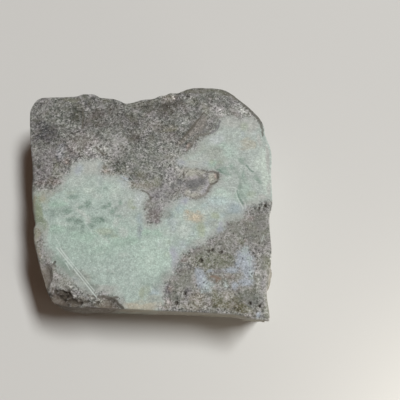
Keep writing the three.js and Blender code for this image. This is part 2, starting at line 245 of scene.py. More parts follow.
# Soft tints, each a colour and the ellipses that it fills, in the pits' form with a strength for the
# depth. Colours are red, green and blue from 0 to 255, as the eye sees them.
LARIMAR_COLOUR = (163, 179, 172)
LARIMAR_TINTS = {
    "greyer ground": ((166, 176, 171), [(26, 12, 16, 22, 0.9), (-18, 6, 8, 6, 0.8), (-5, -2, 6, 6, 0.9)]),
    "fuller ground": ((160, 180, 170), [(-14, -15, 14, 7, 0.8)]),
    "bright mint": ((170, 190, 180), [
        (3, -19, 5.5, 7.5, 1), (-6, -16.5, 4, 3, 0.6), (27.2, 14.5, 2.4, 3.4, 0.4), (-11, -11, 2, 1.4, 0.5),
        (25.8, 14, 2.4, 2.6, 0.7), (23, -1.4, 4, 2.8, 0.8, -10), (-14, 1, 9, 4.6, 0.35),
    ]),
    "fresh green": ((156, 181, 167), [
        (-26.8, -3.6, 3, 1.3, 0.9), (-26, -11.8, 3, 1.6, 0.7), (-16.5, -14, 3.6, 1.8, 0.7),
        (-20, -13.6, 2, 1.4, 0.6), (-7, -15.8, 3, 1.6, 0.6), (-3.5, -15.4, 2.4, 1.2, 0.7),
        (29, -1.4, 1.2, 2.6, 0.6, -15), (1, -12.8, 1.6, 1.2, 0.8), (4.4, -13, 1.6, 1, 0.7),
        (31.5, 1, 1.6, 3, 0.5), (24, 16.4, 1.6, 1.2, 0.4), (21.4, 9.4, 1.8, 1.6, 0.9),
        (-12, -16.6, 4, 2.6, 0.4),
    ]),
    "pale mint": ((186, 199, 190), [
        (37.6, 7.5, 1.5, 7.5, 1, 2), (36, 9.6, 2, 2.4, 0.7), (-24.3, -2.3, 0.8, 0.8, 0.6),
        (-17.5, 0.8, 2, 1.2, 0.6), (-9.4, 0.6, 1.4, 2, 0.5), (29.5, 20.6, 1.4, 0.8, 0.4, 30),
        (5, -17.6, 0.6, 0.5, 0.5), (2.2, -21.4, 1, 1.6, 0.4), (-12, -19, 1.6, 0.6, 0.3, 40),
    ]),
    "milky": ((180, 190, 184), [
        (-19, -6.8, 2.6, 0.8, 0.9, -35), (-16.8, -8.6, 1, 1.6, 0.8, 10), (-23, -8.2, 2, 0.5, 0.5, 10),
        (-14.8, -1, 2, 1.1, 0.6, -20), (-8, -9.6, 1.6, 0.9, 0.7, 60), (-6, -12.5, 1.2, 2.2, 0.7, 20),
        (-20.5, -4.5, 1.2, 1, 0.5), (-24.2, -10.4, 2.6, 0.6, 0.5, -4), (12, -12.4, 2.4, 2.2, 0.7, -40),
        (17.8, -15.5, 2, 1.3, 0.8, -10), (-11.8, -14.4, 2.6, 0.5, 0.7, -50), (16, 11.5, 3, 1.2, 0.3, -15),
        (20.5, -5.2, 1.4, 1, 0.4, -50), (-22, 3.6, 3, 2, 0.4, 10), (-8.8, 3.6, 3.2, 1.2, 0.5, -10),
        (-4.8, -6.8, 1.4, 1.4, 0.4), (-3, -9.6, 1, 1.4, 0.4), (-9.6, -1.2, 1.4, 1, 0.4),
        (-5.5, -19.6, 1.6, 0.8, 0.4), (14.4, -4.2, 1.6, 1, 0.7), (-17.4, 9.8, 3.2, 1.6, 1, -10),
        (7.6, -12.6, 2, 1.2, 0.4), (18.6, -6.6, 1.6, 1, 0.5), (13.2, -10.2, 1.8, 1, 0.6, -40),
        (10, -9, 1.4, 1.2, 0.5), (19.6, -11.6, 1.2, 1.6, 0.5),
    ]),
    "bleached": ((169, 173, 168), [
        (34.6, 24.6, 2.4, 4, 1, -24), (36.8, 18.4, 1, 2.6, 0.9, 6), (39, 11.6, 0.7, 5.6, 0.9),
        (38.7, 1.4, 0.7, 3, 0.8), (11.2, 11.6, 1.2, 2.2, 0.8), (-26.2, 4.2, 1, 1.6, 0.8),
        (-14, 11.4, 2.4, 0.8, 0.8, -20), (14.6, 10.2, 4, 1, 0.7), (19.8, 12.2, 3.4, 1.4, 0.4),
        (-10.6, -29.6, 4, 1, 0.8), (36.6, -1.6, 1.6, 1, 0.9), (21.4, -15, 2, 0.6, 0.7, 30),
        (28.6, 25.2, 5.4, 2.6, 0.9, 6), (-19, 8.6, 5, 2.8, 0.7),
    ]),
    "sky": ((163, 174, 176), [
        (-21.6, 8, 1.5, 2.2, 0.9, 10), (-14.5, 9.4, 1.2, 1.4, 0.6, 20), (-6.6, 3.6, 2.2, 1, 0.8, -30),
        (26.8, -4.6, 3.2, 2.6, 0.6, -25), (11, -2.8, 1.2, 2.2, 0.8), (-14.2, 4.8, 1, 2.6, 0.3),
        (11, 9.6, 1.6, 1.5, 0.9), (18.5, 9.8, 2, 0.9, 0.5), (5.2, -29.8, 2.4, 1.8, 0.6),
        (12.8, -16.8, 2.2, 1.4, 0.8, -30), (9.4, -21, 1, 2.8, 0.9, 10), (10.4, -18, 1.4, 1.2, 0.7),
        (31, 21, 0.6, 1.4, 0.5), (21.4, -3.6, 3, 1.6, 0.7, -20), (8.6, -9.6, 1.6, 1.6, 0.6),
        (19.2, -9.8, 1.4, 1, 0.5),
    ]),
    "light blue": ((178, 187, 186), [
        (22.4, 18.7, 2.2, 1.7, 1, 10), (-1.4, -1.4, 1.6, 1.6, 1), (-1.4, -3.6, 1, 1.2, 0.8),
        (35, 21, 1.2, 1.2, 0.4), (22.8, -1.6, 2, 1.4, 0.4), (-6.6, 2, 1.4, 1, 0.7), (9, -12, 1, 0.8, 0.4),
        (-21, 5.9, 0.6, 0.3, 0.6), (6.5, -16.2, 1.5, 1.3, 1),
    ]),
    "deep blue": ((146, 161, 165), [
        (27.6, -5.4, 2, 2, 0.8, -20), (-0.9, -12.6, 0.9, 2, 1, 4), (-1.2, -8.4, 1, 1.8, 0.7, 8),
        (23.6, -12, 0.8, 1.4, 0.9), (24.8, -7.8, 2, 1, 0.5, -20), (4, -30.8, 1.6, 1, 0.7),
        (9.8, -23.4, 0.8, 1.6, 0.8, 20), (-18.4, -27.6, 1.5, 1.3, 0.9, -40), (10.4, -5.6, 0.8, 1.4, 0.6),
        (33.4, -5, 1.4, 0.7, 0.7), (7.2, -25.6, 0.8, 1.4, 0.5, -30), (28, -6, 2.6, 2.2, 0.8, -20),
        (7.3, -6.9, 1.5, 1.5, 1), (-28.6, -6.6, 2.2, 1.4, 0.3),
    ]),
    "teal": ((140, 157, 148), [
        (-27.6, -6.4, 2.8, 1.8, 0.8), (-23.4, -6, 1.4, 1.4, 1), (-17.2, -3.6, 0.8, 1.4, 1, -15),
        (-19.4, -4.8, 1.3, 0.7, 0.7, 10), (-20.6, -9.4, 2.4, 1.1, 1, -6), (-21.5, -11.6, 2.2, 0.8, 0.8),
        (-13.9, -8.7, 2, 1.2, 1.2, -8), (-15.2, -10.4, 1.2, 1, 0.9), (-18.3, -11.2, 0.9, 2, 0.7, 10),
        (-10.8, -4, 0.7, 1.1, 1.2, 5), (-12.6, -4.8, 0.9, 0.6, 1.2), (-9.6, -6.2, 0.9, 0.7, 1.1),
        (-8.2, -5.2, 0.7, 0.7, 0.7, 20), (-7.2, -3.3, 0.5, 1, 0.8, 10), (-7, -7.6, 0.8, 0.4, 0.9),
        (-10.2, -14, 2.1, 0.6, 0.8, 4), (-22.4, -1.6, 2.2, 0.8, 0.8), (-28, -18.3, 1.2, 1.4, 1, 30),
        (24.6, 8, 2, 1.4, 0.9, -12), (25.8, 6.6, 1.8, 0.8, 0.9, -25), (30.6, 5.6, 0.7, 2.4, 0.7, 3),
        (29.8, 2.2, 0.7, 1.2, 0.9, 20), (30.2, -1.2, 0.8, 1.5, 0.6, -20), (32.6, -0.8, 1.6, 1.4, 0.6),
        (-13.8, -21.6, 1.2, 0.7, 0.4), (-14.5, -26, 1.2, 1, 0.6), (-12.8, -26.2, 0.6, 0.6, 0.5),
        (-4, -16, 1.4, 0.6, 0.5), (6.4, -26.4, 1, 1.6, 0.8), (-26.5, -13, 1.6, 0.8, 0.3),
        (-3.4, -6.8, 1.6, 0.9, 0.3), (13.8, -16, 1.4, 0.8, 0.6), (20.6, 9.4, 0.8, 1.2, 0.5),
        (27.4, 8.4, 0.5, 1.4, 0.6, 8), (30.2, 10.6, 0.6, 1.2, 0.7, 30), (16.8, 14.8, 1.8, 1.4, 0.5),
        (22, 15.4, 1.6, 1, 0.5), (2, -14.4, 1.2, 1, 0.5), (-8.4, -25, 2.6, 0.8, 0.3),
        (2.6, -28.2, 2.6, 1, 0.5), (23.6, 11, 1.2, 1.6, 0.5), (23.3, 8.8, 1.7, 1.2, 1, -30),
        (27.4, 9, 0.9, 1.2, 0.7), (31, 4.6, 0.9, 1.4, 0.7), (34.8, 4.5, 1.8, 0.7, 0.8, -35),
        (30.5, 11.5, 1, 1, 0.8), (25, 4.5, 1.2, 0.8, 0.7), (7.3, -26.4, 1.9, 1.6, 0.9),
        (-23.2, -22.4, 2.4, 1, 0.9, -45),
    ]),
    "grey veil": ((155, 163, 155), [
        (21.6, 14, 3, 2.4, 0.9), (17, 15.4, 2.6, 1.8, 0.9, 20), (24, 11.6, 2, 1.2, 0.7),
        (-18.6, -28.6, 1.6, 1.6, 0.7), (-16.2, -30.2, 2.4, 0.9, 1.4, -20), (-16.6, -26.6, 2.8, 1.6, 1, -40),
        (-13.6, -29.2, 2.4, 1, 1), (-19.2, -25.2, 2, 0.8, 0.8, -40), (16.4, -15.6, 1.8, 0.8, 0.8),
        (22.4, -12.2, 1.4, 1, 0.8), (4.4, -32.2, 2.2, 1, 1.2), (23.4, 9.4, 1.2, 1.4, 0.8),
        (21.4, -10.2, 1.2, 1.2, 0.9), (-9.6, -30.4, 2.4, 0.6, 0.8), (-29.4, -12.2, 1, 3, 0.9, 5),
        (14, 13.6, 2.4, 1, 0.8, 30), (26.6, 18.4, 1.2, 1.6, 0.4), (-6.8, 5, 1.4, 0.8, 0.5),
        (33.4, -3.4, 2.8, 1.2, 0.9, 10), (-30.2, -4.6, 1, 1.6, 0.5), (-26.4, 1.4, 2, 1, 0.4),
        (28.4, -7.8, 2, 0.8, 0.6, -10), (7.4, -30.8, 0.8, 2, 0.8), (-5, -33.2, 1.2, 1, 0.9),
        (8.6, 7.4, 0.8, 0.8, 0.4),
    ]),
    "yellow green": ((156, 167, 148), [
        (-11.2, -12.4, 2.6, 1.2, 0.6, -6), (-4.4, -3.6, 1, 1.6, 0.5), (17.2, -11.6, 1.5, 2.2, 1, 10),
        (21.6, -7.6, 1.5, 1.1, 0.9, -20), (0.6, -31, 0.8, 1.6, 0.8, 10), (-28.8, 0.4, 1.2, 1.4, 0.8),
        (7.6, -15.6, 1.2, 1, 0.5), (17.4, -13.4, 1.2, 1.2, 0.8), (-3.2, -4.8, 1, 0.5, 1),
        (31.5, 23.8, 1.2, 1.6, 0.6), (22.2, -1.2, 1.6, 1, 0.2), (33.2, -0.6, 1.4, 1.2, 0.5),
        (2, -30.2, 1.2, 1.4, 0.5), (20.8, 10.6, 0.9, 0.9, 0.6), (23.4, 10.2, 0.8, 0.8, 0.5),
        (-8.6, -14, 1.4, 0.7, 0.5), (7.4, -19.4, 1.2, 1, 0.3), (-23, 0, 2, 0.6, 0.3),
    ]),
    "tan fleck": ((166, 166, 152), [
        (33, 17, 2.2, 1.6, 0.8), (32.4, 15.4, 2.6, 0.6, 0.6), (31.8, 18.6, 1.6, 0.7, 0.7, 30),
        (34.6, 16.2, 0.8, 1, 0.8), (-29.6, -0.6, 1.2, 1.2, 0.5), (12.4, 7.6, 1.6, 1, 0.6),
    ]),
    "moss": ((140, 152, 130), [
        (-31.9, -6.8, 0.9, 4.2, 1.3, 12), (-31.2, -11.5, 0.7, 3, 1.1, 8), (-32.6, -2.6, 0.9, 2, 0.8, 10),
        (-31, -14.4, 0.8, 1.8, 1, 15), (-31, -10.6, 1.3, 2.6, 1.1, 8), (-32.6, 0.2, 1.6, 1.2, 0.9),
    ]),
    "rim beige": ((148, 148, 130), [
        (-33.9, -3.2, 0.6, 3, 1, 10), (-33, -8.8, 0.5, 3.2, 0.9, 10), (-32, -13.6, 0.6, 2.6, 1, 14),
        (-31.4, -1.6, 1.2, 1.8, 0.9), (-30.6, 0.6, 1.6, 1, 0.7), (-30.2, -2.6, 1, 0.8, 0.4),
    ]),
    "teal grey": ((139, 148, 142), [
        (-14, -29.4, 2.2, 1, 0.9), (-17.6, -25.6, 2.4, 1.2, 0.9, -45), (20.8, -9.9, 1.5, 1, 0.7),
        (1, -9.8, 1.2, 0.9, 0.8), (4.4, -33, 1.5, 0.9, 0.8), (23.5, 9.3, 1.4, 0.9, 0.8),
        (-27.4, 1.2, 1.6, 1, 0.8), (-26.9, -19.2, 1.1, 1.6, 0.8, 15), (-22.8, -19.7, 1.5, 1.3, 0.5),
        (7.3, -26.3, 1.7, 1.7, 0.9), (7, -7, 1.5, 1.5, 1), (-4.4, -33.4, 0.9, 0.8, 0.8),
        (-1, -12.7, 0.8, 1.6, 0.6, 4), (23.8, 22.8, 1.3, 1, 0.6), (18.8, 18.4, 1.4, 1.2, 0.6),
        (-29.7, -0.8, 1.2, 1, 0.6), (26.3, -8, 1.5, 1.3, 0.6),
    ]),
    "deep teal grey": ((117, 128, 121), [
        (-13.8, -29.5, 2.2, 0.9, 0.9), (-22.6, -24, 1.6, 0.7, 0.7, -45), (7, -7, 1.4, 1.4, 0.5),
        (-4.3, -33.4, 0.8, 0.7, 0.5), (7.8, -25.6, 1.7, 1.4, 0.5), (-14.6, -28.4, 1.4, 0.9, 0.5),
        (5.1, -28.7, 1.2, 1.2, 0.5), (-20.6, -24.5, 1.5, 1.1, 0.6, -45), (13.9, -17.3, 1.2, 1, 0.5),
    ]),
    "deep moss": ((125, 137, 119), [(-31, -10.8, 1.3, 2.5, 1, 8), (-31.6, -5, 0.7, 2, 0.5, 8)]),
    "lit mint": ((174, 193, 183), [
        (-13.2, -15.9, 2.3, 1.4, 0.9), (-26.4, -2.8, 1.4, 0.6, 0.4), (3, -20, 2.6, 4, 0.5),
        (6.8, -16.1, 1.6, 1.8, 0.8),
    ]),
    "lit turquoise": ((174, 192, 190), [
        (22.2, -2.6, 3.4, 1.5, 0.9, -14), (11.6, -5.4, 1, 1.6, 0.7), (18.6, -4.4, 1.2, 0.9, 0.7),
    ]),
    "lilac blue": ((166, 171, 180), [
        (9.7, -20.8, 1.4, 3.5, 0.9, 8), (12.2, -2.5, 1.5, 1.6, 0.9), (10.6, 10.2, 1.5, 1.2, 0.9),
        (23.5, -10.4, 0.9, 0.7, 0.8), (31.5, -5.5, 1.4, 1, 0.7), (-21.9, 8, 1.1, 1.4, 0.5),
    ]),
    "violet blue": ((136, 145, 166), [(23.2, -12.1, 1.1, 0.9, 1), (12.6, -2.2, 0.6, 0.8, 0.6)]),
    "front cream": ((169, 167, 152), [
        (5, -34.2, 1.4, 0.8, 0.8), (0.6, -33, 2.6, 0.5, 0.5), (-1.6, -34.2, 3.6, 1, 1.3, -2),
        (3, -34.4, 3, 1, 1.3, -3),
    ]),
}

BASALT_COLOUR = (118, 120, 116)
BLEACHED_COLOUR = (150, 152, 148)
BLEACHED_REACH = 3.4
BLEACHED_SHARE = 0.62
BASALT_GROUNDS = {
    "middle grey": ((129, 133, 127), [(-1, 11, 14, 7, 1), (6, 14, 6, 5, 0.8)]),
    "left lilac grey": ((122, 120, 119), [
        (-33, 9, 6, 7, 1), (-36, 31.6, 2.6, 3, 0.8), (-25, 12.5, 7, 3, 0.7),
    ]),
    "lower right": ((137, 138, 131), [
        (30, -12, 10, 7, 1), (22, -21, 9, 6, 1), (28, -28, 12, 10, 1), (13, -28, 6, 7, 1),
        (36, -30, 5, 12, 1),
    ]),
    "tongue": ((144, 144, 145), [
        (5, -1.5, 5, 5.5, 1), (4, -7, 4.2, 3.2, 0.9), (8, 5, 3, 3.4, 0.8), (0.5, 1.6, 3.4, 1.2, 0.5),
    ]),
    "far dark": ((106, 105, 98), [
        (6.6, 32.4, 4, 3.4, 1), (1.4, 30.6, 3, 2.4, 0.9), (3.8, 22.6, 2.4, 1.6, 0.6),
        (-34.6, 17.6, 3.4, 1.8, 0.8), (-29.6, 22.6, 2.2, 2.2, 0.8), (-24, 28, 3, 4, 0.6),
    ]),
    "eye ground": ((153, 153, 150), [(16, 3, 7, 5.6, 1), (10.6, 6.4, 2, 2, 0.8)]),
}
BASALT_TINTS = {
    "cool green grey": ((113, 117, 110), [
        (-30, 28.4, 4.6, 5.5, 0.9), (-31, 33.2, 3.4, 1.4, 0.9), (-25.4, 23.6, 3, 1.4, 0.8),
        (-29.2, 20, 0.9, 3, 0.9, 10), (-14.6, 21.2, 2.2, 1.4, 0.9), (9.9, 27.2, 1.1, 1.2, 0.9),
        (-3.4, 8.6, 2.6, 2.2, 0.6), (9.8, -31.8, 1.6, 1.6, 0.9), (-7.6, 24, 2.6, 1.4, 0.5),
        (0.8, 16, 3, 1.6, 0.5),
    ]),
    "pink grey": ((133, 129, 125), [
        (-22.5, 19, 4.6, 2.6, 0.9), (-23, 15.4, 3.6, 2.6, 1), (-17.6, 17.4, 2.6, 2.4, 0.9),
        (-19.4, 27.8, 1, 1.6, 0.8, 20), (-15, 27.2, 1, 0.9, 0.7), (1.6, 24.6, 3.4, 1.6, 0.7),
        (-0.4, 28, 1.6, 1.2, 0.5), (6.6, 19, 2.2, 1.4, 0.6), (12.2, 30.6, 1.6, 2.2, 0.5),
        (-13.8, 30.2, 0.7, 1.6, 0.6),
    ]),
    "pale stone": ((147, 148, 144), [
        (-9.6, 18, 2.6, 3.6, 0.9), (-10, 14, 2.4, 2.4, 0.7), (-16.8, 14.8, 2.2, 2.2, 1, -40),
        (-20, 13.8, 2.2, 1.4, 0.7), (-13, 17.6, 1.6, 2.2, 0.8), (22.6, 30, 3, 2.4, 0.9, -10),
        (25, 27.2, 1.8, 1.4, 1), (28.6, 30.6, 3, 1.4, 0.6), (12, 24.8, 1.8, 1.2, 0.9),
        (6.4, 15.2, 2.2, 1.4, 0.4), (8, 12.4, 1.4, 2.4, 0.8, 20), (31.2, 29.4, 2.4, 1.2, 0.9, -20),
        (-36.1, 30, 0.5, 0.6, 1), (-32.8, 29.7, 0.6, 0.5, 1), (-30.6, 31.4, 0.6, 0.5, 0.8),
        (-27.4, 28.2, 0.8, 0.7, 0.5), (-24, 23.4, 0.9, 0.4, 0.7), (-15.4, 26.8, 0.5, 0.6, 0.8),
        (-4.8, 28.8, 1.2, 0.7, 0.8), (7.8, 23.6, 0.9, 0.5, 0.9), (9.9, 25.2, 0.5, 0.7, 0.8),
        (-24.2, -27.2, 2, 1.8, 0.6, 20), (35.7, -29.4, 0.7, 4, 0.9), (36.4, -20, 0.9, 3.6, 0.8, 4),
        (1, -2.4, 0.8, 1.6, 0.9, 30), (5, -3.2, 2, 0.8, 0.5), (7.4, 3.6, 1.6, 1, 0.5),
        (18.6, -30, 2.2, 1, 0.9), (33.6, -25.4, 1, 2, 0.9), (7, -8.4, 2, 1, 0.8), (4, -10.6, 2.4, 0.6, 0.7),
        (34.2, -26.4, 0.5, 1.8, 0.8, -20), (-9.2, 17.6, 3.4, 3.8, 0.8), (9.8, 5.9, 1.3, 1.1, 0.9),
        (-20.5, 32, 0.5, 0.4, 0.9), (26.1, -25.2, 1.6, 0.7, 0.9), (24.4, -29.8, 2.8, 0.9, 1),
        (-23.8, -27.2, 1.8, 1.3, 1), (19.2, 31.3, 1.4, 1.2, 0.8),
    ]),
    "slate": ((83, 82, 85), [
        (-34.2, 21.6, 2.6, 2.6, 1.1, -20), (-32, 21.8, 2, 2, 0.9), (-32.6, 18.8, 2.4, 1.4, 0.8),
        (-35.8, 24.6, 1.8, 1, 0.7), (-36, 18.6, 1.4, 1.4, 0.4), (-30.6, 20, 1.4, 2, 0.6),
        (-20.9, 32.8, 1, 1.5, 0.9), (-20.6, 31, 1.1, 0.6, 0.8), (8.6, 1.9, 1.1, 1, 0.4),
        (11, 3.5, 0.5, 0.7, 0.5), (19.5, 22, 1.4, 0.5, 0.4, 25), (-25, 7.9, 0.5, 0.4, 0.8),
        (-34.6, 24, 2.4, 1.4, 0.7), (37, 23.4, 0.3, 3, 0.6, 8), (-31.2, 17.2, 1.8, 1.4, 0.6),
    ]),
    "ink": ((66, 67, 70), [(-32.9, 22.2, 2.4, 2, 0.8), (-35.2, 20.6, 1.4, 1.6, 0.5)]),
    "black green": ((78, 80, 72), [
        (-24.6, 28.4, 1.6, 2.2, 1), (-23.2, 26.2, 0.9, 1.2, 0.9), (-25.8, 30.6, 1.3, 0.8, 0.8),
        (-23, 29.2, 0.5, 1.8, 0.9), (1.4, 32.8, 1.6, 0.8, 0.7), (0.9, 30.6, 0.8, 1.4, 0.7, 20),
        (5.2, 28, 1.2, 0.9, 0.6), (13.6, 21.4, 0.7, 1.6, 0.8, -40), (12.6, 26.8, 0.8, 0.9, 0.5),
        (-6.8, 27.6, 0.6, 1.4, 0.5), (8.4, 24.6, 0.6, 1, 0.8), (11.8, 20.4, 0.6, 0.6, 0.8),
        (33.8, -4.8, 0.8, 1, 0.4, 30), (35.2, -6.4, 0.6, 1.6, 0.7, -10), (4.9, 2.3, 0.5, 0.9, 0.8),
        (4.8, 4.8, 0.5, 0.5, 0.8), (29.6, -32.4, 1.4, 0.6, 0.7), (31.4, -33.6, 1, 0.7, 0.7),
        (0.7, 6, 0.4, 0.3, 1), (7.8, 6, 0.4, 0.4, 0.7), (12, 6, 0.4, 0.5, 0.8), (5.3, 11.6, 0.5, 0.4, 0.9),
        (-32.5, 7, 0.5, 0.4, 0.9), (-34.4, 9, 0.6, 0.5, 1),
    ]),
    "umber": ((92, 88, 82), [
        (-17.2, 27.6, 3, 3, 0.8, -10), (-20.4, 24.8, 1.6, 2.6, 0.8), (-12, 29.6, 2.2, 2.8, 0.7),
        (-15.8, 24, 3.6, 1.2, 0.7), (-4.2, 19, 1.9, 2, 0.9), (-9, 26, 2, 2.4, 0.4),
        (-21.3, 12.6, 0.9, 0.4, 0.9, 20), (-4.6, 24.4, 1.6, 1, 0.5), (-22.6, 16.9, 1.4, 0.3, 0.5),
        (1.6, 18.8, 1, 1, 0.3), (-0.4, 19.8, 1.2, 0.5, 0.5), (9.8, 18.4, 0.8, 1.2, 0.8, -20),
        (-24.4, 9.6, 0.7, 0.9, 0.6), (2.4, -8.4, 1.6, 1.3, 0.4), (3, -2.2, 1.4, 0.5, 0.4),
        (11.6, -24.7, 2.2, 0.5, 0.5), (16.6, -17.9, 1.8, 0.4, 0.7, -14), (8.6, 9, 0.4, 0.6, 0.4),
        (5.2, 29.4, 2.8, 2.4, 0.8), (-28.4, -25.3, 0.6, 1.4, 0.7, 20), (8, 20.4, 1.7, 1.2, 0.7),
        (-26.8, 8, 0.9, 1.2, 0.5),
    ]),
    "burnt": ((74, 68, 59), [
        (5.4, 30.8, 1.8, 2.2, 0.9), (8, 29, 1.1, 1, 0.8), (8.8, 33.4, 0.8, 2, 0.9, -10),
        (10.4, 33, 1.4, 1.5, 0.8), (9.4, 31.4, 0.8, 1, 0.8), (17.2, 28.6, 1.6, 0.7, 0.6, 10),
        (15, 36.8, 1.4, 0.6, 0.4), (13, 35.4, 0.8, 1.4, 0.5),
    ]),
    "olive": ((108, 109, 95), [
        (-26.4, 34, 3.6, 0.8, 0.9), (-14.6, 33.8, 2.4, 0.7, 0.7, -14), (-3.6, 31.6, 3, 1.5, 0.9, 8),
        (-5, 27.2, 1.8, 1.8, 0.8), (18, 37.4, 6.5, 0.9, 1), (24.6, 36.8, 3, 1.2, 1, -14),
        (27.8, 35.2, 2.4, 0.9, 0.9, -36), (1, 33.2, 3, 0.6, 0.8, 12), (-29.6, 4.2, 1.3, 1.5, 0.5),
        (-2.4, 5.6, 3, 1.6, 0.9), (-8.4, 8.8, 1.9, 2, 0.9), (-8.6, 11, 1.6, 0.7, 0.6),
        (-14.2, 13.8, 0.9, 0.6, 1.3, 30), (17.6, 20.5, 2, 0.5, 0.8, 15), (-23, 31.4, 1.4, 0.9, 0.5),
        (-1.2, 11, 0.9, 0.5, 0.5), (19.8, 31, 0.8, 0.8, 0.4), (16, 32.6, 1, 1.4, 0.4),
        (6.6, 22.4, 3.6, 1.6, 0.9, 12), (-13.8, 13.3, 0.8, 0.6, 0.9), (3, 23, 1.6, 1.2, 0.6),
    ]),
    "light olive": ((130, 133, 115), [
        (7.2, 22.2, 2.8, 0.8, 0.9, 8), (1.4, 3, 2.2, 1.6, 0.8), (3.4, 4.6, 1, 1, 0.6),
        (-28.8, 7.8, 0.9, 1.9, 0.8), (-27.6, 5.6, 1.2, 1, 0.4), (-25.6, 33.2, 2.4, 0.5, 0.5),
        (24.6, -20.4, 1.8, 1.4, 0.9), (16, -22.6, 1.6, 0.8, 0.7), (29, -15.6, 1.2, 1, 0.9),
        (21.6, -31.4, 1, 2.4, 0.9), (36.6, -22, 0.8, 3.4, 0.6, 5), (19.2, 29, 1, 1, 0.5),
        (14.6, 33.4, 1.6, 1.8, 0.5), (36, -33.5, 0.7, 2.4, 0.5), (2.6, 3, 1.8, 1.2, 0.9),
        (20, -21.4, 6, 2.2, 0.7, -4), (24.4, -32, 1.5, 1.2, 0.9), (36.3, -22, 1.1, 2.6, 0.9),
        (35.8, -33.5, 0.5, 3.4, 0.6), (-32, -13.8, 1, 2.6, 0.9, 14),
    ]),
    "mustard": ((112, 109, 82), [
        (24.6, -34.2, 3, 1.1, 0.9, -6), (28.8, -34.8, 2.6, 1.3, 1, -8), (22.2, -34, 1.6, 0.9, 0.8),
        (21.7, -32.2, 0.6, 1.8, 0.5), (29, -32.2, 1, 1.2, 0.5), (32.4, -36.2, 1.4, 0.5, 0.4, -14),
        (25.6, -33.4, 4.6, 2.2, 0.7, -6), (7, 22.2, 2.6, 0.7, 0.4, 12), (-13.4, 15.4, 0.9, 0.5, 0.4),
    ]),
    "tan": ((139, 134, 123), [
        (8, -34, 1.6, 1, 0.9), (15.4, -34.4, 3.6, 0.9, 0.9, -2), (-13.2, 8.2, 1.6, 1.2, 0.9, -30),
        (-3.6, 2.6, 2, 0.7, 0.9, -35), (-0.8, 2.2, 1.6, 0.8, 0.6), (19, -33.6, 1.6, 1, 0.5),
        (6.6, 34.8, 2.4, 1.6, 1), (11.6, 18.2, 0.8, 3, 0.8, -45),
    ]),
    "creamy ground": ((152, 150, 139), [
        (16.4, -31.8, 2.6, 1.2, 0.9), (-4.4, 1.6, 0.8, 1.4, 0.8), (-11.4, 6.4, 2.2, 0.6, 0.9, -12),
        (16.6, -34.4, 1, 0.5, 0.7), (11.6, -34.4, 1.6, 0.5, 0.6), (31.4, -35.2, 1.4, 0.5, 0.7, -14),
        (18.6, 31.6, 0.8, 1.2, 0.6), (29, 28, 1.4, 0.6, 0.4), (-14.6, 15.2, 0.6, 0.6, 0.7),
        (-1, 2.3, 4.6, 1.4, 0.7, -12), (7.4, -33.8, 1.8, 1.3, 0.8), (25, -31.5, 1.9, 1.2, 1, -20),
        (30.5, -36.9, 1.6, 0.5, 0.8, -10), (-12.4, 7.6, 1.3, 0.9, 0.9, -20),
    ]),
    "mauve": ((127, 126, 129), [
        (-36.9, 21, 0.8, 3, 0.5, 8), (28.8, 29.2, 3.2, 0.9, 0.7, -8), (-28, 12.6, 1.2, 2.4, 0.4),
        (5, 0, 3.6, 2, 0.4), (8.4, -29.4, 2, 1.4, 0.8), (13.6, -29.8, 1, 2.6, 0.8), (3, -9, 2, 1, 0.5),
        (35.4, -27, 0.8, 2.6, 0.7), (25.4, -11, 0.7, 2, 0.8), (12.2, -23.2, 2.6, 0.8, 0.8, -6),
        (32.6, -16.2, 1.4, 0.6, 0.5), (-2.4, 3.6, 1, 0.6, 0.4, -20), (22.4, -24.4, 2, 0.6, 0.7),
        (34.6, -36.6, 0.6, 0.9, 0.8), (35.3, -27, 0.4, 2.8, 0.9), (26, -24.6, 2.2, 0.7, 0.6),
        (27, -29.2, 1.2, 0.9, 0.8),
    ]),
    "dusty": ((130, 132, 124), [
        (27.6, -11.2, 2.4, 2.2, 1), (35.8, -11, 2.2, 4.4, 0.9), (12, -27.2, 2.6, 2.4, 1),
        (22.6, -15.6, 2.4, 1, 0.6), (32.4, -32.6, 2, 2.2, 0.9), (32, -13.8, 1.8, 1, 1),
        (21.2, -23.6, 1.8, 0.6, 0.7), (17.6, -19.4, 2.4, 0.9, 0.5), (20, 35.6, 5, 1, 0.5),
        (31, -11.8, 6, 3.4, 0.8), (31.2, -29.2, 1.8, 0.8, 0.8),
    ]),
    "dark green grey": ((99, 105, 97), [
        (-8.6, 9.4, 2.4, 2.2, 0.9), (-4, 5.2, 1.4, 1.2, 0.9), (-22.2, 26, 0.8, 2.6, 0.6, 4),
    ]),
    "blue stone": ((112, 116, 117), [
        (31.4, -32, 2.4, 2, 0.9), (-30.6, 16.4, 1.8, 2, 0.5), (-21, 33.6, 1.2, 0.9, 0.5),
    ]),
    "lilac stone": ((129, 132, 136), [(-28, 14.2, 1.3, 2.8, 1, 4), (-24.4, 12, 1.2, 0.8, 0.3)]),
    "tongue foot": ((126, 120, 118), [(3, -7.6, 2.2, 2.4, 0.9, 20), (1.2, -4.4, 0.8, 2.2, 0.4)]),
    "pale blue green": ((142, 148, 143), [
        (11.8, 25, 2.2, 1.9, 0.8, 30), (-10, 20, 1.6, 1.4, 0.4), (11.3, -22.9, 1.7, 0.9, 0.9),
    ]),
    "white stone": ((165, 167, 161), [
        (25.6, 28.8, 1.8, 1.2, 0.8), (32.6, 28.6, 2.8, 1.6, 1, -42), (33.9, -27.4, 0.4, 3.4, 0.8),
        (34.1, -33.6, 0.4, 3.4, 0.3, -3), (33.8, -25.4, 0.9, 1.4, 0.8), (-4.8, 2.4, 0.6, 1, 0.6),
        (7.2, 4.6, 0.7, 0.5, 0.5), (-17, 15.4, 1.4, 1, 0.4, -40), (-15.4, 16.2, 1.7, 1.2, 0.8),
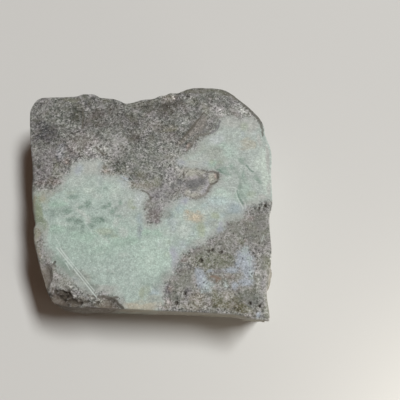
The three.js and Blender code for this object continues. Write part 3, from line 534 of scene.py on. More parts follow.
        (-13.4, 14.6, 1.4, 1, 0.8), (-11.2, 10.6, 1.3, 1, 0.6), (-24, -27.3, 1.6, 1.3, 0.8),
        (20.3, 24.2, 0.8, 1.6, 0.4, -20), (15.4, 17.2, 1.2, 0.9, 0.8), (26.1, -25.4, 1.5, 0.7, 0.7),
        (35.4, -25.6, 0.9, 1.6, 0.7), (28, 29.4, 2.4, 1, 0.4),
    ]),
    "corner ground": ((146, 147, 140), [
        (-25.4, -26.4, 2.6, 3.6, 0.9, 20), (-21.6, -28.2, 3, 1.4, 1, -20),
        (-27.8, -21.6, 1.4, 2.6, 0.9, 15), (-30, -17.8, 1, 2.4, 0.8, 15),
    ]),
    "rim beige": ((146, 143, 130), [
        (-30.4, -18.8, 0.7, 2.6, 1, 20), (-28.6, -23.4, 0.7, 2.6, 0.8, 20), (-27.2, -27.4, 0.5, 2, 0.6, 18),
        (-32, -13.4, 1.2, 2.6, 1, 14),
    ]),
    "rim light": ((160, 160, 142), [(-32.2, -13.4, 1.1, 2.3, 0.9, 14)]),
    # Painted shade: the broken front-left corner lies in shade, and the next two tints paint that shade
    # into its colour.
    "corner shadow": ((98, 90, 84), [
        (-21.6, -31.8, 3.6, 1.5, 1, -10), (-18.6, -32.6, 3.2, 1, 0.9, -10), (-24.4, -31.6, 1.6, 1.6, 0.8),
        (-23, -33.6, 2.4, 0.6, 0.8, -8), (-13.4, -34.2, 2.4, 0.4, 0.8), (-25.4, -29.5, 1.2, 0.8, 0.7),
    ]),
    "corner deep shade": ((74, 67, 61), [
        (-23.6, -32.8, 1.7, 0.9, 0.9), (-19.2, -33.9, 1.8, 0.6, 0.9), (-27, -29.4, 0.6, 1.2, 0.6, 25),
        (-13.6, -34.5, 2.2, 0.5, 0.9), (-28.4, -25, 0.5, 1.4, 0.5, 20), (-22.5, -32.3, 1.4, 0.8, 1),
        (-25, -32, 1, 1.2, 0.9), (-19.9, -32.9, 1.5, 0.8, 0.9), (-27.7, -25.3, 0.9, 1, 0.5),
    ]),
    "corner light": ((138, 133, 127), [
        (-16.5, -32.6, 1.3, 0.6, 0.9), (-20.2, -30.4, 1.3, 0.7, 0.8), (-24.8, -30, 0.9, 0.6, 0.6),
    ]),
    "flake": ((126, 122, 114), [
        (-9, -33.8, 3.6, 1.2, 1, -3), (-14.6, -34, 2.4, 0.7, 0.8, -4), (-9.6, -32.4, 2.6, 0.5, 0.9),
    ]),
    "flake light": ((138, 140, 132), [
        (-10.8, -33, 1.3, 0.4, 0.9, 8), (-15.8, -32.8, 1.5, 0.4, 0.8, -8), (-13.4, -31.9, 1, 0.5, 0.9),
        (-18.2, -31.4, 1, 0.3, 0.7, -35),
    ]),
    "rusty": ((132, 122, 116), [
        (-25.5, 10.6, 1.2, 1.4, 0.9), (-28, 3.6, 1.2, 1.2, 0.9), (-32.8, 3.2, 1.6, 0.9, 0.7),
        (13.4, 16, 0.9, 1.5, 0.9, -20), (12.6, -21, 1.6, 1, 0.6), (30.6, -15.3, 0.7, 0.5, 0.9),
        (33, -8.6, 1.2, 1, 0.8), (9.2, -29.4, 1, 0.8, 0.7), (-2.6, 2.8, 0.8, 0.3, 0.6, -20),
        (8.6, -33.2, 1, 0.7, 0.4), (26.2, -26.2, 2, 0.6, 0.6),
    ]),
    "low olive": ((119, 124, 105), [
        (20.5, -21.4, 5.6, 1.6, 0.9, -5), (24.8, -20.6, 1.8, 1.2, 0.6), (31.2, -31.4, 2.6, 2.2, 0.5),
    ]),
    "low cream": ((140, 136, 121), [(16.6, -32.8, 1.8, 2.8, 0.9)]),
    "deep mustard": ((106, 103, 76), [(21.9, -33, 1.2, 1.6, 0.4), (28.2, -34.8, 3.2, 0.9, 0.55, -6)]),
    "dim grey": ((110, 111, 107), [
        (-34.5, 16.5, 1.6, 1.4, 0.7), (-29.5, 18, 2, 1.4, 0.7), (32.3, -15.2, 1.6, 1.1, 0.8),
        (35, -10, 1.6, 2, 0.5), (31.5, -28.7, 1.2, 0.6, 0.6), (34.7, -32.6, 0.8, 1.6, 0.7),
        (-28.4, -21.8, 0.9, 1.4, 0.7, 15), (-24.8, 7.3, 0.8, 0.9, 0.5), (-29, 7.5, 1.3, 1.5, 0.35),
    ]),
    "brown ground": ((115, 109, 96), [(-29.6, 4, 1.3, 1.2, 0.8)]),
    "corner bright": ((158, 158, 150), [(-25.8, -26.1, 1.4, 1.4, 0.7, 20), (-19.9, -30, 0.9, 0.5, 0.6)]),
    # Darker basalt on the far side. The last two ellipses are painted shade in the broken front-left
    # corner.
    "far dark grey and corner shade": ((95, 95, 89), [
        (-6.6, 28, 2.4, 2.4, 0.6), (0.6, 31.2, 3.4, 2, 0.6), (-4.4, 24.2, 3.2, 1.6, 0.6),
        (-12.3, 24, 1.8, 1.4, 0.6), (-25.4, 21, 2.4, 1.4, 0.6), (-29.4, 22.8, 1.6, 1.2, 0.6),
        (-34.5, 16.8, 1.8, 1.5, 0.6), (-29.7, 18, 2, 1.3, 0.6), (3.9, 22.8, 1.5, 1, 0.6),
        (9.7, 32.9, 1.3, 1.2, 0.5), (12.8, 27.2, 1.6, 1.6, 0.5), (-23.4, -32.8, 1.6, 0.8, 0.8),
        (-14.2, -34.1, 1.6, 0.5, 0.8),
    ]),
    "far light": ((160, 159, 151), [
        (19.4, 29.3, 1.5, 2.4, 0.5), (5, 33, 1.2, 0.9, 0.6), (7.6, 12.6, 1.8, 1.6, 0.5),
        (-16.8, -32.4, 1.1, 0.5, 0.7), (-7.6, -32.7, 1, 0.4, 0.4), (-20.2, -30.4, 0.8, 0.5, 0.6),
    ]),
}

# Where the basalt's grain is finer and lower in contrast, in the same form as a tint's ellipses.
CALM = [
    (5, -1, 5, 8, 0.6), (-9.6, 16.6, 3.4, 5, 0.6), (34.5, -11, 4.6, 5, 0.9), (27, -11, 3, 3, 0.9),
    (-34, 8.6, 3, 3, 0.5), (-2.6, 7.4, 3.4, 3, 0.5), (-25.6, -24, 4, 6, 0.7, 20), (12, -27.2, 3.4, 3, 0.8),
    (16.5, 3, 8, 6, 0.8), (18, 37.2, 8, 1.1, 0.9), (26.5, 36, 4, 1.4, 0.9, -30), (-27, 33.8, 4, 1, 0.8),
    (25, 28.6, 8, 2.4, 0.35), (27, -26, 10, 8, 0.65), (22, -18, 10, 6, 0.55), (-31, -16, 2, 6, 0.9, 15),
    (35.8, -28, 1.6, 9, 0.8), (2, 12, 8, 3, 0.3), (17.4, 24.2, 3, 5, 0.6, -38), (30, -12, 12, 6, 0.7),
    (14, -30, 8, 6, 0.35), (4.5, -3, 5, 7, 0.8), (13, -26.6, 3.6, 3.6, 0.9), (31.5, -32, 2.4, 2.2, 0.9),
    (-0.8, 2.2, 4.6, 1.6, 0.8, -10), (-24, -26, 4.4, 4, 0.8, 20), (-33, 9, 5, 6, 0.35),
    (20.5, -21.4, 5.6, 2, 0.6, -5),
]

# Patches with crisp, torn edges, in the same form. Each has a colour of its own in the material.
PATCHES = {
    "lilac": [
        (17.2, -26.2, 1.3, 2.4, 1.1, 2), (18.4, -28.2, 1.6, 1, 1.1), (30, -20.6, 1.9, 2.6, 1.1, 4),
        (31, -24.6, 1.3, 2.4, 1, -4), (28.6, -22.4, 1.4, 1, 1, 20), (30.6, -27.6, 1.8, 1, 1, -8),
        (26.6, -24, 2.4, 0.9, 0.9, 6), (29, -20.4, 0.7, 1.6, 0.6, -25), (27.2, -28.6, 1.2, 1, 0.9),
        (20.4, -24.2, 1.4, 0.5, 0.7, -8), (33.8, -36.4, 0.6, 0.9, 0.7), (17, -24, 1.2, 0.5, 0.8),
        (-6.4, 4.9, 1.6, 0.5, 0.7, -28), (17.7, -26.8, 1.4, 2.3, 1.1), (30.8, -22.4, 1.7, 3.8, 1),
        (27, -24.2, 1.8, 0.8, 0.9),
    ],
    "pale turquoise": [
        (19.8, -28.4, 1.6, 0.9, 1.1), (19, -29.8, 1.8, 0.7, 0.9), (30.4, -19, 0.9, 0.6, 0.9),
        (31.8, -25.6, 0.6, 1.4, 0.9), (31.6, -22.4, 0.5, 1.2, 0.7), (24.4, -28.4, 0.9, 1.2, 0.5),
        (30.8, -18.2, 0.8, 0.3, 0.8), (7.2, -9, 1.6, 0.5, 0.5), (31.4, -21, 0.7, 1, 0.9),
        (30.4, -18.1, 1.1, 0.6, 1.1), (18.4, -26.8, 0.7, 0.9, 0.7), (12.6, -7.6, 1, 0.6, 0.7, 30),
        (19.2, -5.4, 0.9, 0.7, 0.8), (9, -11.4, 0.9, 0.6, 0.8), (21, -9, 0.8, 0.5, 0.8, -30),
        (14.8, -13.6, 0.8, 0.6, 0.8),
    ],
    "cream": [
        (14.8, 6.9, 3.2, 1.1, 1.1, 3), (18.2, 6.9, 0.9, 0.6, 0.8), (20.6, 4.6, 1.1, 1.7, 1.1, -10),
        (15.3, -0.8, 1.9, 0.8, 1.1, -6), (13, 0.5, 0.8, 0.7, 0.8, 30), (10.8, 5.4, 0.8, 0.6, 0.5),
        (6.4, -33.6, 0.8, 0.9, 0.5), (12.4, 11.6, 1.6, 0.5, 0.4, 50), (-4.3, 29, 0.9, 0.4, 0.5, -20),
        (7.8, 23.6, 0.8, 0.4, 0.6), (17, -31.6, 1.2, 0.6, 0.5),
    ],
    "lilac ring": [(19, 2.6, 0.6, 1.7, 1.1, -8), (18.2, 0.6, 0.6, 1, 1, -25), (12.25, 3.3, 0.35, 1.2, 1.1)],
    "ochre": [
        (15.4, -8.1, 2.5, 1.3, 1, -6), (13.4, -6.6, 1.1, 0.9, 0.7), (16.6, -9.2, 1.4, 0.6, 0.6),
        (16.4, -6.4, 1, 0.7, 0.4),
    ],
    "hook pink": [
        (21.9, 5.3, 0.6, 1.1, 1), (-25.6, 10, 0.3, 0.6, 0.9), (-12.6, 7.6, 1.2, 0.7, 0.5, -20),
        (9, -29.3, 0.6, 0.4, 0.4), (33.2, -8.2, 0.5, 0.4, 0.4), (35, 17.2, 0.5, 0.4, 0.6),
        (32, 18.2, 0.5, 0.3, 0.6), (13.3, 16.2, 0.6, 1, 0.7, -20),
    ],
    "dusk": [
        (15.4, 2.9, 2.8, 1.3, 1.1, 4), (17.4, 3.7, 1.2, 1, 1, 8), (10.7, 3.4, 1.1, 0.9, 1.1),
        (15.4, 1, 1.6, 0.7, 0.7), (21.2, 21.5, 1.3, 0.35, 1, 25), (23, 23.4, 0.5, 1.3, 1, -35),
        (24.1, 25, 0.4, 0.8, 0.8, -20), (-24.9, 7.8, 0.5, 0.35, 0.9), (-24.6, 10.4, 0.35, 0.5, 0.6),
    ],
    "teal spot": [
        (-17.2, -3.6, 0.9, 1.2, 1, -15), (-12.4, -4.9, 0.9, 0.6, 1), (-10.8, -4, 0.7, 1, 1, 5),
        (-9.5, -5.8, 0.9, 0.7, 1), (-13.8, -8.9, 1.9, 1, 1.1, -8), (-15.4, -10.4, 1, 0.8, 0.9),
        (-20.6, -9.4, 2.2, 0.8, 1, -6), (-23.5, -6, 1.3, 1.1, 1), (-12.5, 1.5, 0.6, 0.5, 0.8),
        (-7.4, -3.2, 0.5, 0.9, 0.9, 10), (-7, -7.6, 0.8, 0.4, 0.9), (-22.2, -1.6, 1.7, 0.6, 0.9),
        (-18.3, -11.2, 0.7, 1.6, 0.8, 10), (24.4, 7.4, 1.8, 0.9, 0.9, -25),
        (-19.6, -4.8, 1.2, 0.5, 0.8, 10), (27.4, 9, 0.5, 1, 0.7), (-10.2, -14, 1.8, 0.5, 0.7, 4),
        (30.6, 5.6, 0.5, 1.6, 0.7),
    ],
    "vein": [
        (16.8, 23.8, 1.9, 3.6, 1, -36), (18.3, 26.2, 1, 1.9, 0.9, -20), (14.4, 21, 1.2, 1.6, 0.9, -40),
        (12, 17.8, 0.6, 2, 0.7, -40),
    ],
}

# Lines in the pattern, each the points along it, with three of painted shadow along the broken flake's
# steps. First, dark ones a hair wide.
OUTLINES = {
    "hook": [
        (20.2, 2.6), (21.4, 2.8), (22.3, 3.6), (22.9, 4.6), (23.1, 5.7), (22.8, 6.6), (22.1, 7),
        (20.8, 6.9), (19.6, 7.1), (18.3, 7.9),
    ],
    "hook inside": [(22.5, 4.2), (22.8, 5.4), (22.4, 6.4), (21, 6.7)],
    "eye speck": [(17.2, -0.6), (17.3, -1)],
    "eye top": [(11.9, 6.4), (12.2, 5.6), (12.2, 4.8)],
    "vein edge": [(11, 18.2), (12.6, 20.4), (14.4, 22.4), (15.6, 24.6), (17, 27), (18.4, 29.4)],
    "tongue edge": [(-1.4, 0.6), (0.2, 0.2), (1.4, -1), (1.8, -2.2)],
    "moss line": [(-16.6, 16), (-15.4, 14.4), (-13.9, 13)],
    # Painted shadow: the three flake lines darken the steps round the broken flake, where its edges cast
    # shade.
    "flake edge shadow": [(-12.3, -31.8), (-10, -31.8), (-7.4, -31.7), (-6.2, -33), (-4.6, -34.8)],
    "flake step shadow": [(-12.6, -34.1), (-10.4, -34.3), (-7.4, -34.2)],
    "flake top shadow": [(-14.6, -31.4), (-12.2, -31.8), (-9, -31.9), (-6.2, -31.8)],
    "slate seam": [(-22.3, 29.4), (-22, 26.6), (-21.8, 24.4), (-21.6, 22.8)],
}
# Fainter ones.
FAINT_OUTLINES = {
    "eye rim": [
        (12.2, -0.5), (12.9, -0.6), (13.5, -1.2), (14.4, -1.8), (15.8, -2), (17.2, -1.7), (18.4, -0.9),
        (19.2, 0.6), (19.7, 2), (20.2, 2.6),
    ],
    "vein low": [(20, 21), (17.5, 20.2), (15.8, 19.6), (14.8, 18.2), (13.8, 16), (13, 14.6)],
    "ring in": [(18, 4.6), (17.6, 5.6), (16.6, 5.8)],
}
# Iron-stained streaks, a little wider.
STREAKS = {
    "rust": [(20.6, -25.9), (22.2, -26.2), (23.4, -26.6)],
    "rust drip": [(22.2, -26.2), (22.4, -27.4)],
}
# Green shade lines in the larimar, wider still.
SHADES = {
    "wedge": [(-26, -20.9), (-24.2, -22.4), (-22.4, -24), (-20.4, -25.6)],
    "wedge inner": [(-24.8, -20.6), (-23, -22.6), (-21.4, -24.6)],
    "right upper": [(34.2, 6), (35.8, 3.4)],
    "right long": [(28.4, 8), (29.6, 5), (29.9, 1.6)],
    "right low": [(30, 0.6), (31.4, -3.6)],
    "right top": [(29.4, 12), (31.2, 9.4)],
}

# Dark green cracks in the larimar, a hair wide.
CRACKS = {
    "teal streak": [(31.8, 9.5), (32.8, 7.9), (33.6, 7.2)],
    "behind the hook": [(22.4, 7.9), (23.6, 7.6), (24.8, 6.8)],
    "crack side": [(28.9, 0.8), (29.2, -1.6), (30.2, -4)],
    "spot side": [(-13, -8.2), (-11.8, -9.2)],
}

# The weathered crust that shows as a dark line round the far right rim.
CRUST = {
    "far right": [
        (12, 38.4), (17.2, 39), (22.6, 38.5), (25.6, 37.4), (28, 35.6), (31.2, 32.6), (34.2, 29.4),
        (36.8, 26.2), (37.9, 23), (38.3, 20.4),
    ],
}

# Scratches on the sawn top: start, end, half-width and strength.
SCRATCHES = [
    ((-25.2, -17.5), (-12.2, -31.8), 0.18, 1.0),
    ((-24.2, -17.6), (-13.0, -30.0), 0.13, 0.9),
    ((-24.0, -17.8), (-21.5, -21.0), 0.16, 1.0),
    ((-22.0, -22.0), (-20.6, -24.0), 0.14, 0.8),
    ((-17.6, -9.8), (-13.2, -15.2), 0.18, 0.35),
    ((28.3, 1.2), (28.7, -1.6), 0.2, 0.45),
    ((28.7, -1.6), (30.4, -5.2), 0.2, 0.65),
    ((31.0, -3.0), (31.2, -5.4), 0.16, 0.5),
    ((-26.0, -14.2), (-22.6, -19.6), 0.1, 0.4),
    ((-5.9, 6.4), (-3.6, 3.8), 0.14, 0.5),
    ((-6.8, 5.6), (-4.6, 3.0), 0.14, 0.5),
    ((14.4, -12.0), (12.0, -13.6), 0.16, 0.6),
    ((12.6, -4.0), (13.8, -5.0), 0.14, 0.6),
    ((36.2, -13.6), (35.6, -15.4), 0.14, 0.7),
]
LINES = {
    "outlines": OUTLINES, "faint outlines": FAINT_OUTLINES, "streaks": STREAKS, "shades": SHADES,
    "cracks": CRACKS, "crust": CRUST,
}
SAW_CENTRE = (-30.0, -120.0)     # the middle of the saw marks' arcs

# ---- Rock texture: steady values on a lattice, the same as the solid's ----

LATTICE_TURNS = (12.9898, 78.233, 37.719)
LATTICE_GAIN = 4375.5453


def corner_value(i, j, k):
    """A value from 0 to 1 for each lattice corner: the fraction left by a large multiple of a sine."""
    wave = LATTICE_GAIN * np.sin(i * LATTICE_TURNS[0] + j * LATTICE_TURNS[1] + k * LATTICE_TURNS[2])
    return wave - np.floor(wave)


def ease(t):
    """From 0 to 1 with level ends: t squared times 3 minus 2t."""
    return t * t * (3 - 2 * t)


def mix(a, b, t):
    """From a to b as t goes from 0 to 1."""
    return a + (b - a) * t


def swell(x, y, z):
    """Smooth swells from -1 to 1: the eight lattice corners round a point, blended by eased steps."""
    i, j, k = np.floor(x), np.floor(y), np.floor(z)
    u, v, w = ease(x - i), ease(y - j), ease(z - k)

    def row(b, c):
        return mix(corner_value(i, b, c), corner_value(i + 1, b, c), u)

    level = mix(mix(row(j, k), row(j + 1, k), v), mix(row(j, k + 1), row(j + 1, k + 1), v), w)
    return 2 * level - 1


def hollow(x, y, z):
    """Bowls that meet in sharp ridges: the squared distance to the nearest of one seed per cell."""
    nearest = np.full(np.broadcast(x, y, z).shape, np.inf)
    steps = (-1, 0, 1)
    for a, b, c in [(a, b, c) for a in steps for b in steps for c in steps]:
        i, j, k = np.floor(x) + a, np.floor(y) + b, np.floor(z) + c
        away_x = i + corner_value(i, j, k) - x
        away_y = j + corner_value(j, k, i) - y
        away_z = k + corner_value(k, i, j) - z
        nearest = np.minimum(nearest, away_x ** 2 + away_y ** 2 + away_z ** 2)
    return nearest


def rock_push(x, y, z):
    """How far broken rock stands out: hollows of each size about their mean, on a wide swell."""
    push = SWELL_PUSH * swell(x / SWELL_SIZE, y / SWELL_SIZE, z / SWELL_SIZE)
    for size, height in MAIN_HOLLOWS + FINE_HOLLOWS:
        push = push + height * (hollow(x / size, y / size, z / size) - HOLLOW_MEAN)
    return push


def ledge_push(x, y, z):
    """Steps that stand out below a wandering line: an eased riser for each ledge, added up."""
    push = 0.0
    for height, step, wander, riser in LEDGES:
        line = height + wander * swell(x / LEDGE_WANDER_SIZE, y / LEDGE_WANDER_SIZE, height)
        push = push + step * ease(np.clip((line - z) / riser + 0.5, 0, 1))
    return push


def grain_push(x, y, z):
    """The fine tooth of a broken face: small swells of each size, added up."""
    return sum(push * swell(x / size, y / size, z / size) for size, push in GRAIN_SWELLS)


# ---- The rim ----

SAMPLES_PER_SPAN = 40


def smooth_line(points):
    """A centripetal Catmull-Rom curve: each span is the cubic through its two points whose end
    slopes come from the neighbours, weighted by the square roots of the distances between them."""
    points = np.array(points, float)
    before = 2 * points[0] - points[1]
    after = 2 * points[-1] - points[-2]
    run = np.vstack([before, points, after])
    p0, p1, p2, p3 = (run[k:len(run) - 3 + k, None, :] for k in range(4))

    def gap(a, b):
        return np.sqrt(np.linalg.norm(b - a, axis=2, keepdims=True))

    g0, g1, g2 = gap(p0, p1), gap(p1, p2), gap(p2, p3)
    slope1 = g1 * ((p1 - p0) / g0 - (p2 - p0) / (g0 + g1) + (p2 - p1) / g1)
    slope2 = g1 * ((p2 - p1) / g1 - (p3 - p1) / (g1 + g2) + (p3 - p2) / g2)
    t = np.linspace(0, 1, SAMPLES_PER_SPAN, endpoint=False)[None, :, None]
    curve = (
        p1 + slope1 * t
        + (3 * (p2 - p1) - 2 * slope1 - slope2) * t ** 2
        + (2 * (p1 - p2) + slope1 + slope2) * t ** 3
    )
    return np.vstack([curve.reshape(-1, points.shape[1]), points[-1]])


def evenly_spaced(line, cells):
    """The line cut into cells of equal length, as cells + 1 points."""
    length = np.concatenate([[0], np.cumsum(np.linalg.norm(np.diff(line, axis=0), axis=1))])
    places = np.linspace(0, length[-1], cells + 1)
    return np.stack([np.interp(places, length, column) for column in line.T], axis=1)


def ring_average(values, reach):
    """Each value's mean with its neighbours up to `reach` places away round the ring."""
    return np.mean([np.roll(values, step, axis=0) for step in range(-reach, reach + 1)], axis=0)


def trace_rim():
    """The rim's columns: place, outward direction, rind width, roughness and flare, for each."""
    places, rough, flare = [], [], []
    for side in RIM_SIDES.values():
        places.append(evenly_spaced(smooth_line(side["points"]), side["cells"])[:-1])
        rough.append(np.full(side["cells"], side["rough"]))
        along = np.linspace(0, 1, side["cells"], endpoint=False)
        first, last = side["flare"]
        flare.append(first * (1 - along) ** FLARE_FALL + last * along ** FLARE_FALL)
    places = np.vstack(places)
    ahead = np.roll(places, -OUTWARD_REACH, axis=0)
    behind = np.roll(places, OUTWARD_REACH, axis=0)
    run_x, run_y, _ = (ahead - behind).T
    outward = ring_average(np.stack([run_y, -run_x], axis=1), OUTWARD_REACH)
    outward /= np.linalg.norm(outward, axis=1, keepdims=True)
    rough = ring_average(np.concatenate(rough), ROUGH_BLEND)
    rind = ring_average(places[:, 2], OUTWARD_REACH)
    return {
        "x": places[:, 0], "y": places[:, 1], "rind": rind, "rough": rough,
        "flare": np.concatenate(flare), "outward": outward,
    }


# ---- Breaks: what the ellipsoids take away ----


def into_break(piece, x, y, z):
    """A place seen from a break's own middle, along its own axes, in its own half-lengths."""
    (at_x, at_y, at_z), (half_x, half_y, half_z), turn = piece
    c, s = math.cos(math.radians(turn)), math.sin(math.radians(turn))
    dx, dy = x - at_x, y - at_y
    return np.stack([(c * dx + s * dy) / half_x, (c * dy - s * dx) / half_y, (z - at_z) / half_z])


def break_radius(piece, toward):
    """The rough ellipsoid's radius in a direction, in half-lengths: 1 plus a small swell."""
    unit = toward / np.maximum(np.linalg.norm(toward, axis=0), TINY)
    grain = [(unit[axis] + piece[0][axis]) / BREAK_GRAIN for axis in range(3)]
    return 1 + BREAK_ROUGHNESS * swell(*grain)


def way_out(piece, start, way):
    """How far from `start` along `way` the rough ellipsoid ends, or 0 where start lies outside it:
    the far root of the quadratic for the radius in the direction where that root falls."""
    square = np.sum(way * way, axis=0)
    cross = np.sum(start * way, axis=0)
    inside = np.sum(start * start, axis=0)
    radius = break_radius(piece, start)
    for _ in range(BREAK_ROUNDS):
        inner = np.maximum(cross ** 2 - square * (inside - radius ** 2), 0)
        distance = (np.sqrt(inner) - cross) / square
        radius = break_radius(piece, start + way * distance)
    return np.where(inside < radius ** 2, np.maximum(distance, 0), 0)


def broken_inward(x, y, z, outward):
    """How far in from the wall the wall breaks reach, level with each point."""
    reach = np.zeros_like(x)
    for piece in WALL_BREAKS:
        start = into_break(piece, x, y, z)
        way = into_break(piece, x - outward[0], y - outward[1], z) - start
        reach = np.maximum(reach, way_out(piece, start, way))
    return reach


def broken_downward(x, y, z):
    """How far down from the top the top breaks reach, under each point."""
    reach = np.zeros_like(x)
    for piece in TOP_BREAKS:
        start = into_break(piece, x, y, z)
        way = into_break(piece, x, y, z - 1) - start
        reach = np.maximum(reach, way_out(piece, start, way))
    return reach


# ---- Ellipses on the sawn top: pits, crumbled ground and tints ----


def ellipse_distances(x, y, ellipses):
    """For each ellipse in turn, every place's distance from its middle, 1 on its edge, and the
    ellipse's own depth or strength."""
    for at_x, at_y, half_x, half_y, own, *turn in ellipses:
        angle = math.radians(sum(turn))     # 0 where none is given
        c, s = math.cos(angle), math.sin(angle)
        dx, dy = x - at_x, y - at_y
        yield np.hypot((c * dx + s * dy) / half_x, (c * dy - s * dx) / half_y), own


PIT_WALL = 1.7             # how steep a pit's side is
PIT_RAGGED = 0.5           # how ragged its edge is, and the size of the rags
PIT_RAGS = 0.8


def pit_share(x, y):
    """Each pit's floor as a share of its depth, and the depth itself, for every place: a bowl with a
    ragged edge, which is 1 less the squared elliptical distance, steepened and held between 0 and 1."""
    share, depth = np.zeros_like(x), np.zeros_like(x)
    ragged = PIT_RAGGED * swell(x / PIT_RAGS, y / PIT_RAGS, np.zeros_like(x))
    for across, floor in ellipse_distances(x, y, PITS):
        bowl = np.clip((1 - across ** 2 + ragged * across) * PIT_WALL, 0, 1)
        share = np.maximum(share, bowl)
        depth = np.maximum(depth, bowl * floor)
    return share, depth


def crumbled_depth(x, y):
    """How far the crumbly ground lies below the top: each patch's depth, easing to 0 at its edge,
    times bowls of each size."""
    share = np.zeros_like(x)
    for across, depth in ellipse_distances(x, y, CRUMBLED):
        fade = ease(np.clip((CRUMBLED_REACH - across) / CRUMBLED_EASING, 0, 1))
        share = np.maximum(share, depth * fade)
    flat = np.zeros_like(x)
    bowls = sum(height * hollow(x / size, y / size, flat) for size, height in CRUMBS)
    return share * np.clip(CRUMB_FLOOR - bowls * CRUMB_RIDGE, *CRUMB_LIMITS)


# ---- The stone's surface ----


def rind_foot(rim):
    """The height of the rind's foot, where the wall begins."""
    return THICKNESS - np.maximum(rim["rind"] * RIND_FALL, WORN_EDGE_DROP)


def wall_offset(rim, height):
    """How far outside the rim the wall stands at each height, as the solid's wall does: down to its
    foot the rind, rounded over as a full quarter ellipse, and below it rock and belly fading in,
    plus the side's flare, less the wall's lean and lip. A fine tooth lies on both."""
    foot = rind_foot(rim)
    x, y = np.broadcast_to(rim["x"], height.shape), np.broadcast_to(rim["y"], height.shape)
    depth = (foot - height) / foot
    fade = ease(np.clip((foot - height) / ROCK_FADE, 0, 1))
    rough = rim["rough"]
    belly = rough * BELLY * np.sin(np.pi * depth)
    lean = -rough * FOOT_LEAN * np.clip(depth, 0, 1) ** 2
    lip = np.where((rough < SAWN_UP_TO_ROUGH) & (height < LIP_HEIGHT), -LIP_DEPTH, 0)
    under = UNDER_EDGE_INSET * np.minimum(0, height / UNDER_EDGE_HEIGHT - 1)
    rock = rough * (rock_push(x, y, height) + ledge_push(x, y, height))
    wall = fade * (rock + belly) + rim["flare"] * np.clip(depth, 0, 1) + lean + lip + under
    climb = np.clip((height - foot) / (THICKNESS - foot), 0, 1)
    slope = -rim["rind"] * (1 - (1 - climb ** RIND_FULLNESS) ** (1 / RIND_FULLNESS))
    tooth = grain_push(x, y, height) * mix(SAWN_TOOTH, 1, rough)
    tooth = tooth * np.clip((THICKNESS - height) / TOOTH_FADE, 0, 1)
    return np.where(height >= foot, slope, wall) + tooth


def row_heights(rim):
    """Heights down every column: the rind's rows, the wall's, and the worn lower edge's."""
    foot = rind_foot(rim)
    rind = mix(THICKNESS, foot, np.linspace(0, 1, RIND_ROWS + 1)[:, None] ** RIND_FULLNESS)
    wall = mix(foot, UNDER_EDGE_HEIGHT, np.linspace(0, 1, WALL_ROWS + 1)[1:, None])
    edge = mix(UNDER_EDGE_HEIGHT, 0, np.linspace(0, 1, UNDER_EDGE_ROWS + 1)[1:, None])
    return np.vstack([rind, wall, np.broadcast_to(edge, (UNDER_EDGE_ROWS, foot.size))])


def stone_wall(rim):
    """Rind, wall and lower edge as one grid of rows by columns: each column runs down from the top
    ring, pushed in level where a wall break bites and down where a top break does."""
    height = row_heights(rim)
    outward = rim["outward"].T[:, None, :]
    offset = wall_offset(rim, height)
    x = rim["x"] + outward[0] * offset
    y = rim["y"] + outward[1] * offset
    way = np.broadcast_to(outward, (2, *height.shape))
    reach = broken_inward(x, y, height, way)
    x = x - way[0] * reach
    y = y - way[1] * reach
    sunk = crumbled_depth(x, y) * np.clip((height - THICKNESS) / CRUMBLED_WALL_FADE + 1, 0, 1)
    return np.stack([x, y, height - broken_downward(x, y, height) - sunk], axis=2)


def stone_top(ring, across, up):
    """The sawn top as a Coons patch: the two blends between facing edges, less the blend of the
    four corners. The corners are where the rim's four sides meet."""
    front = ring[:across + 1]
    right = ring[across:across + up + 1]
    far = ring[across + up:2 * across + up + 1][::-1]
    left = np.vstack([ring[2 * across + up:], ring[:1]])[::-1]
    u = np.linspace(0, 1, across + 1)[None, :, None]
    v = np.linspace(0, 1, up + 1)[:, None, None]
    between_long = (1 - v) * front[None] + v * far[None]
    between_short = (1 - u) * left[:, None] + u * right[:, None]
    corners = (1 - v) * ((1 - u) * front[0] + u * front[-1]) + v * ((1 - u) * far[0] + u * far[-1])
    return between_long + between_short - corners


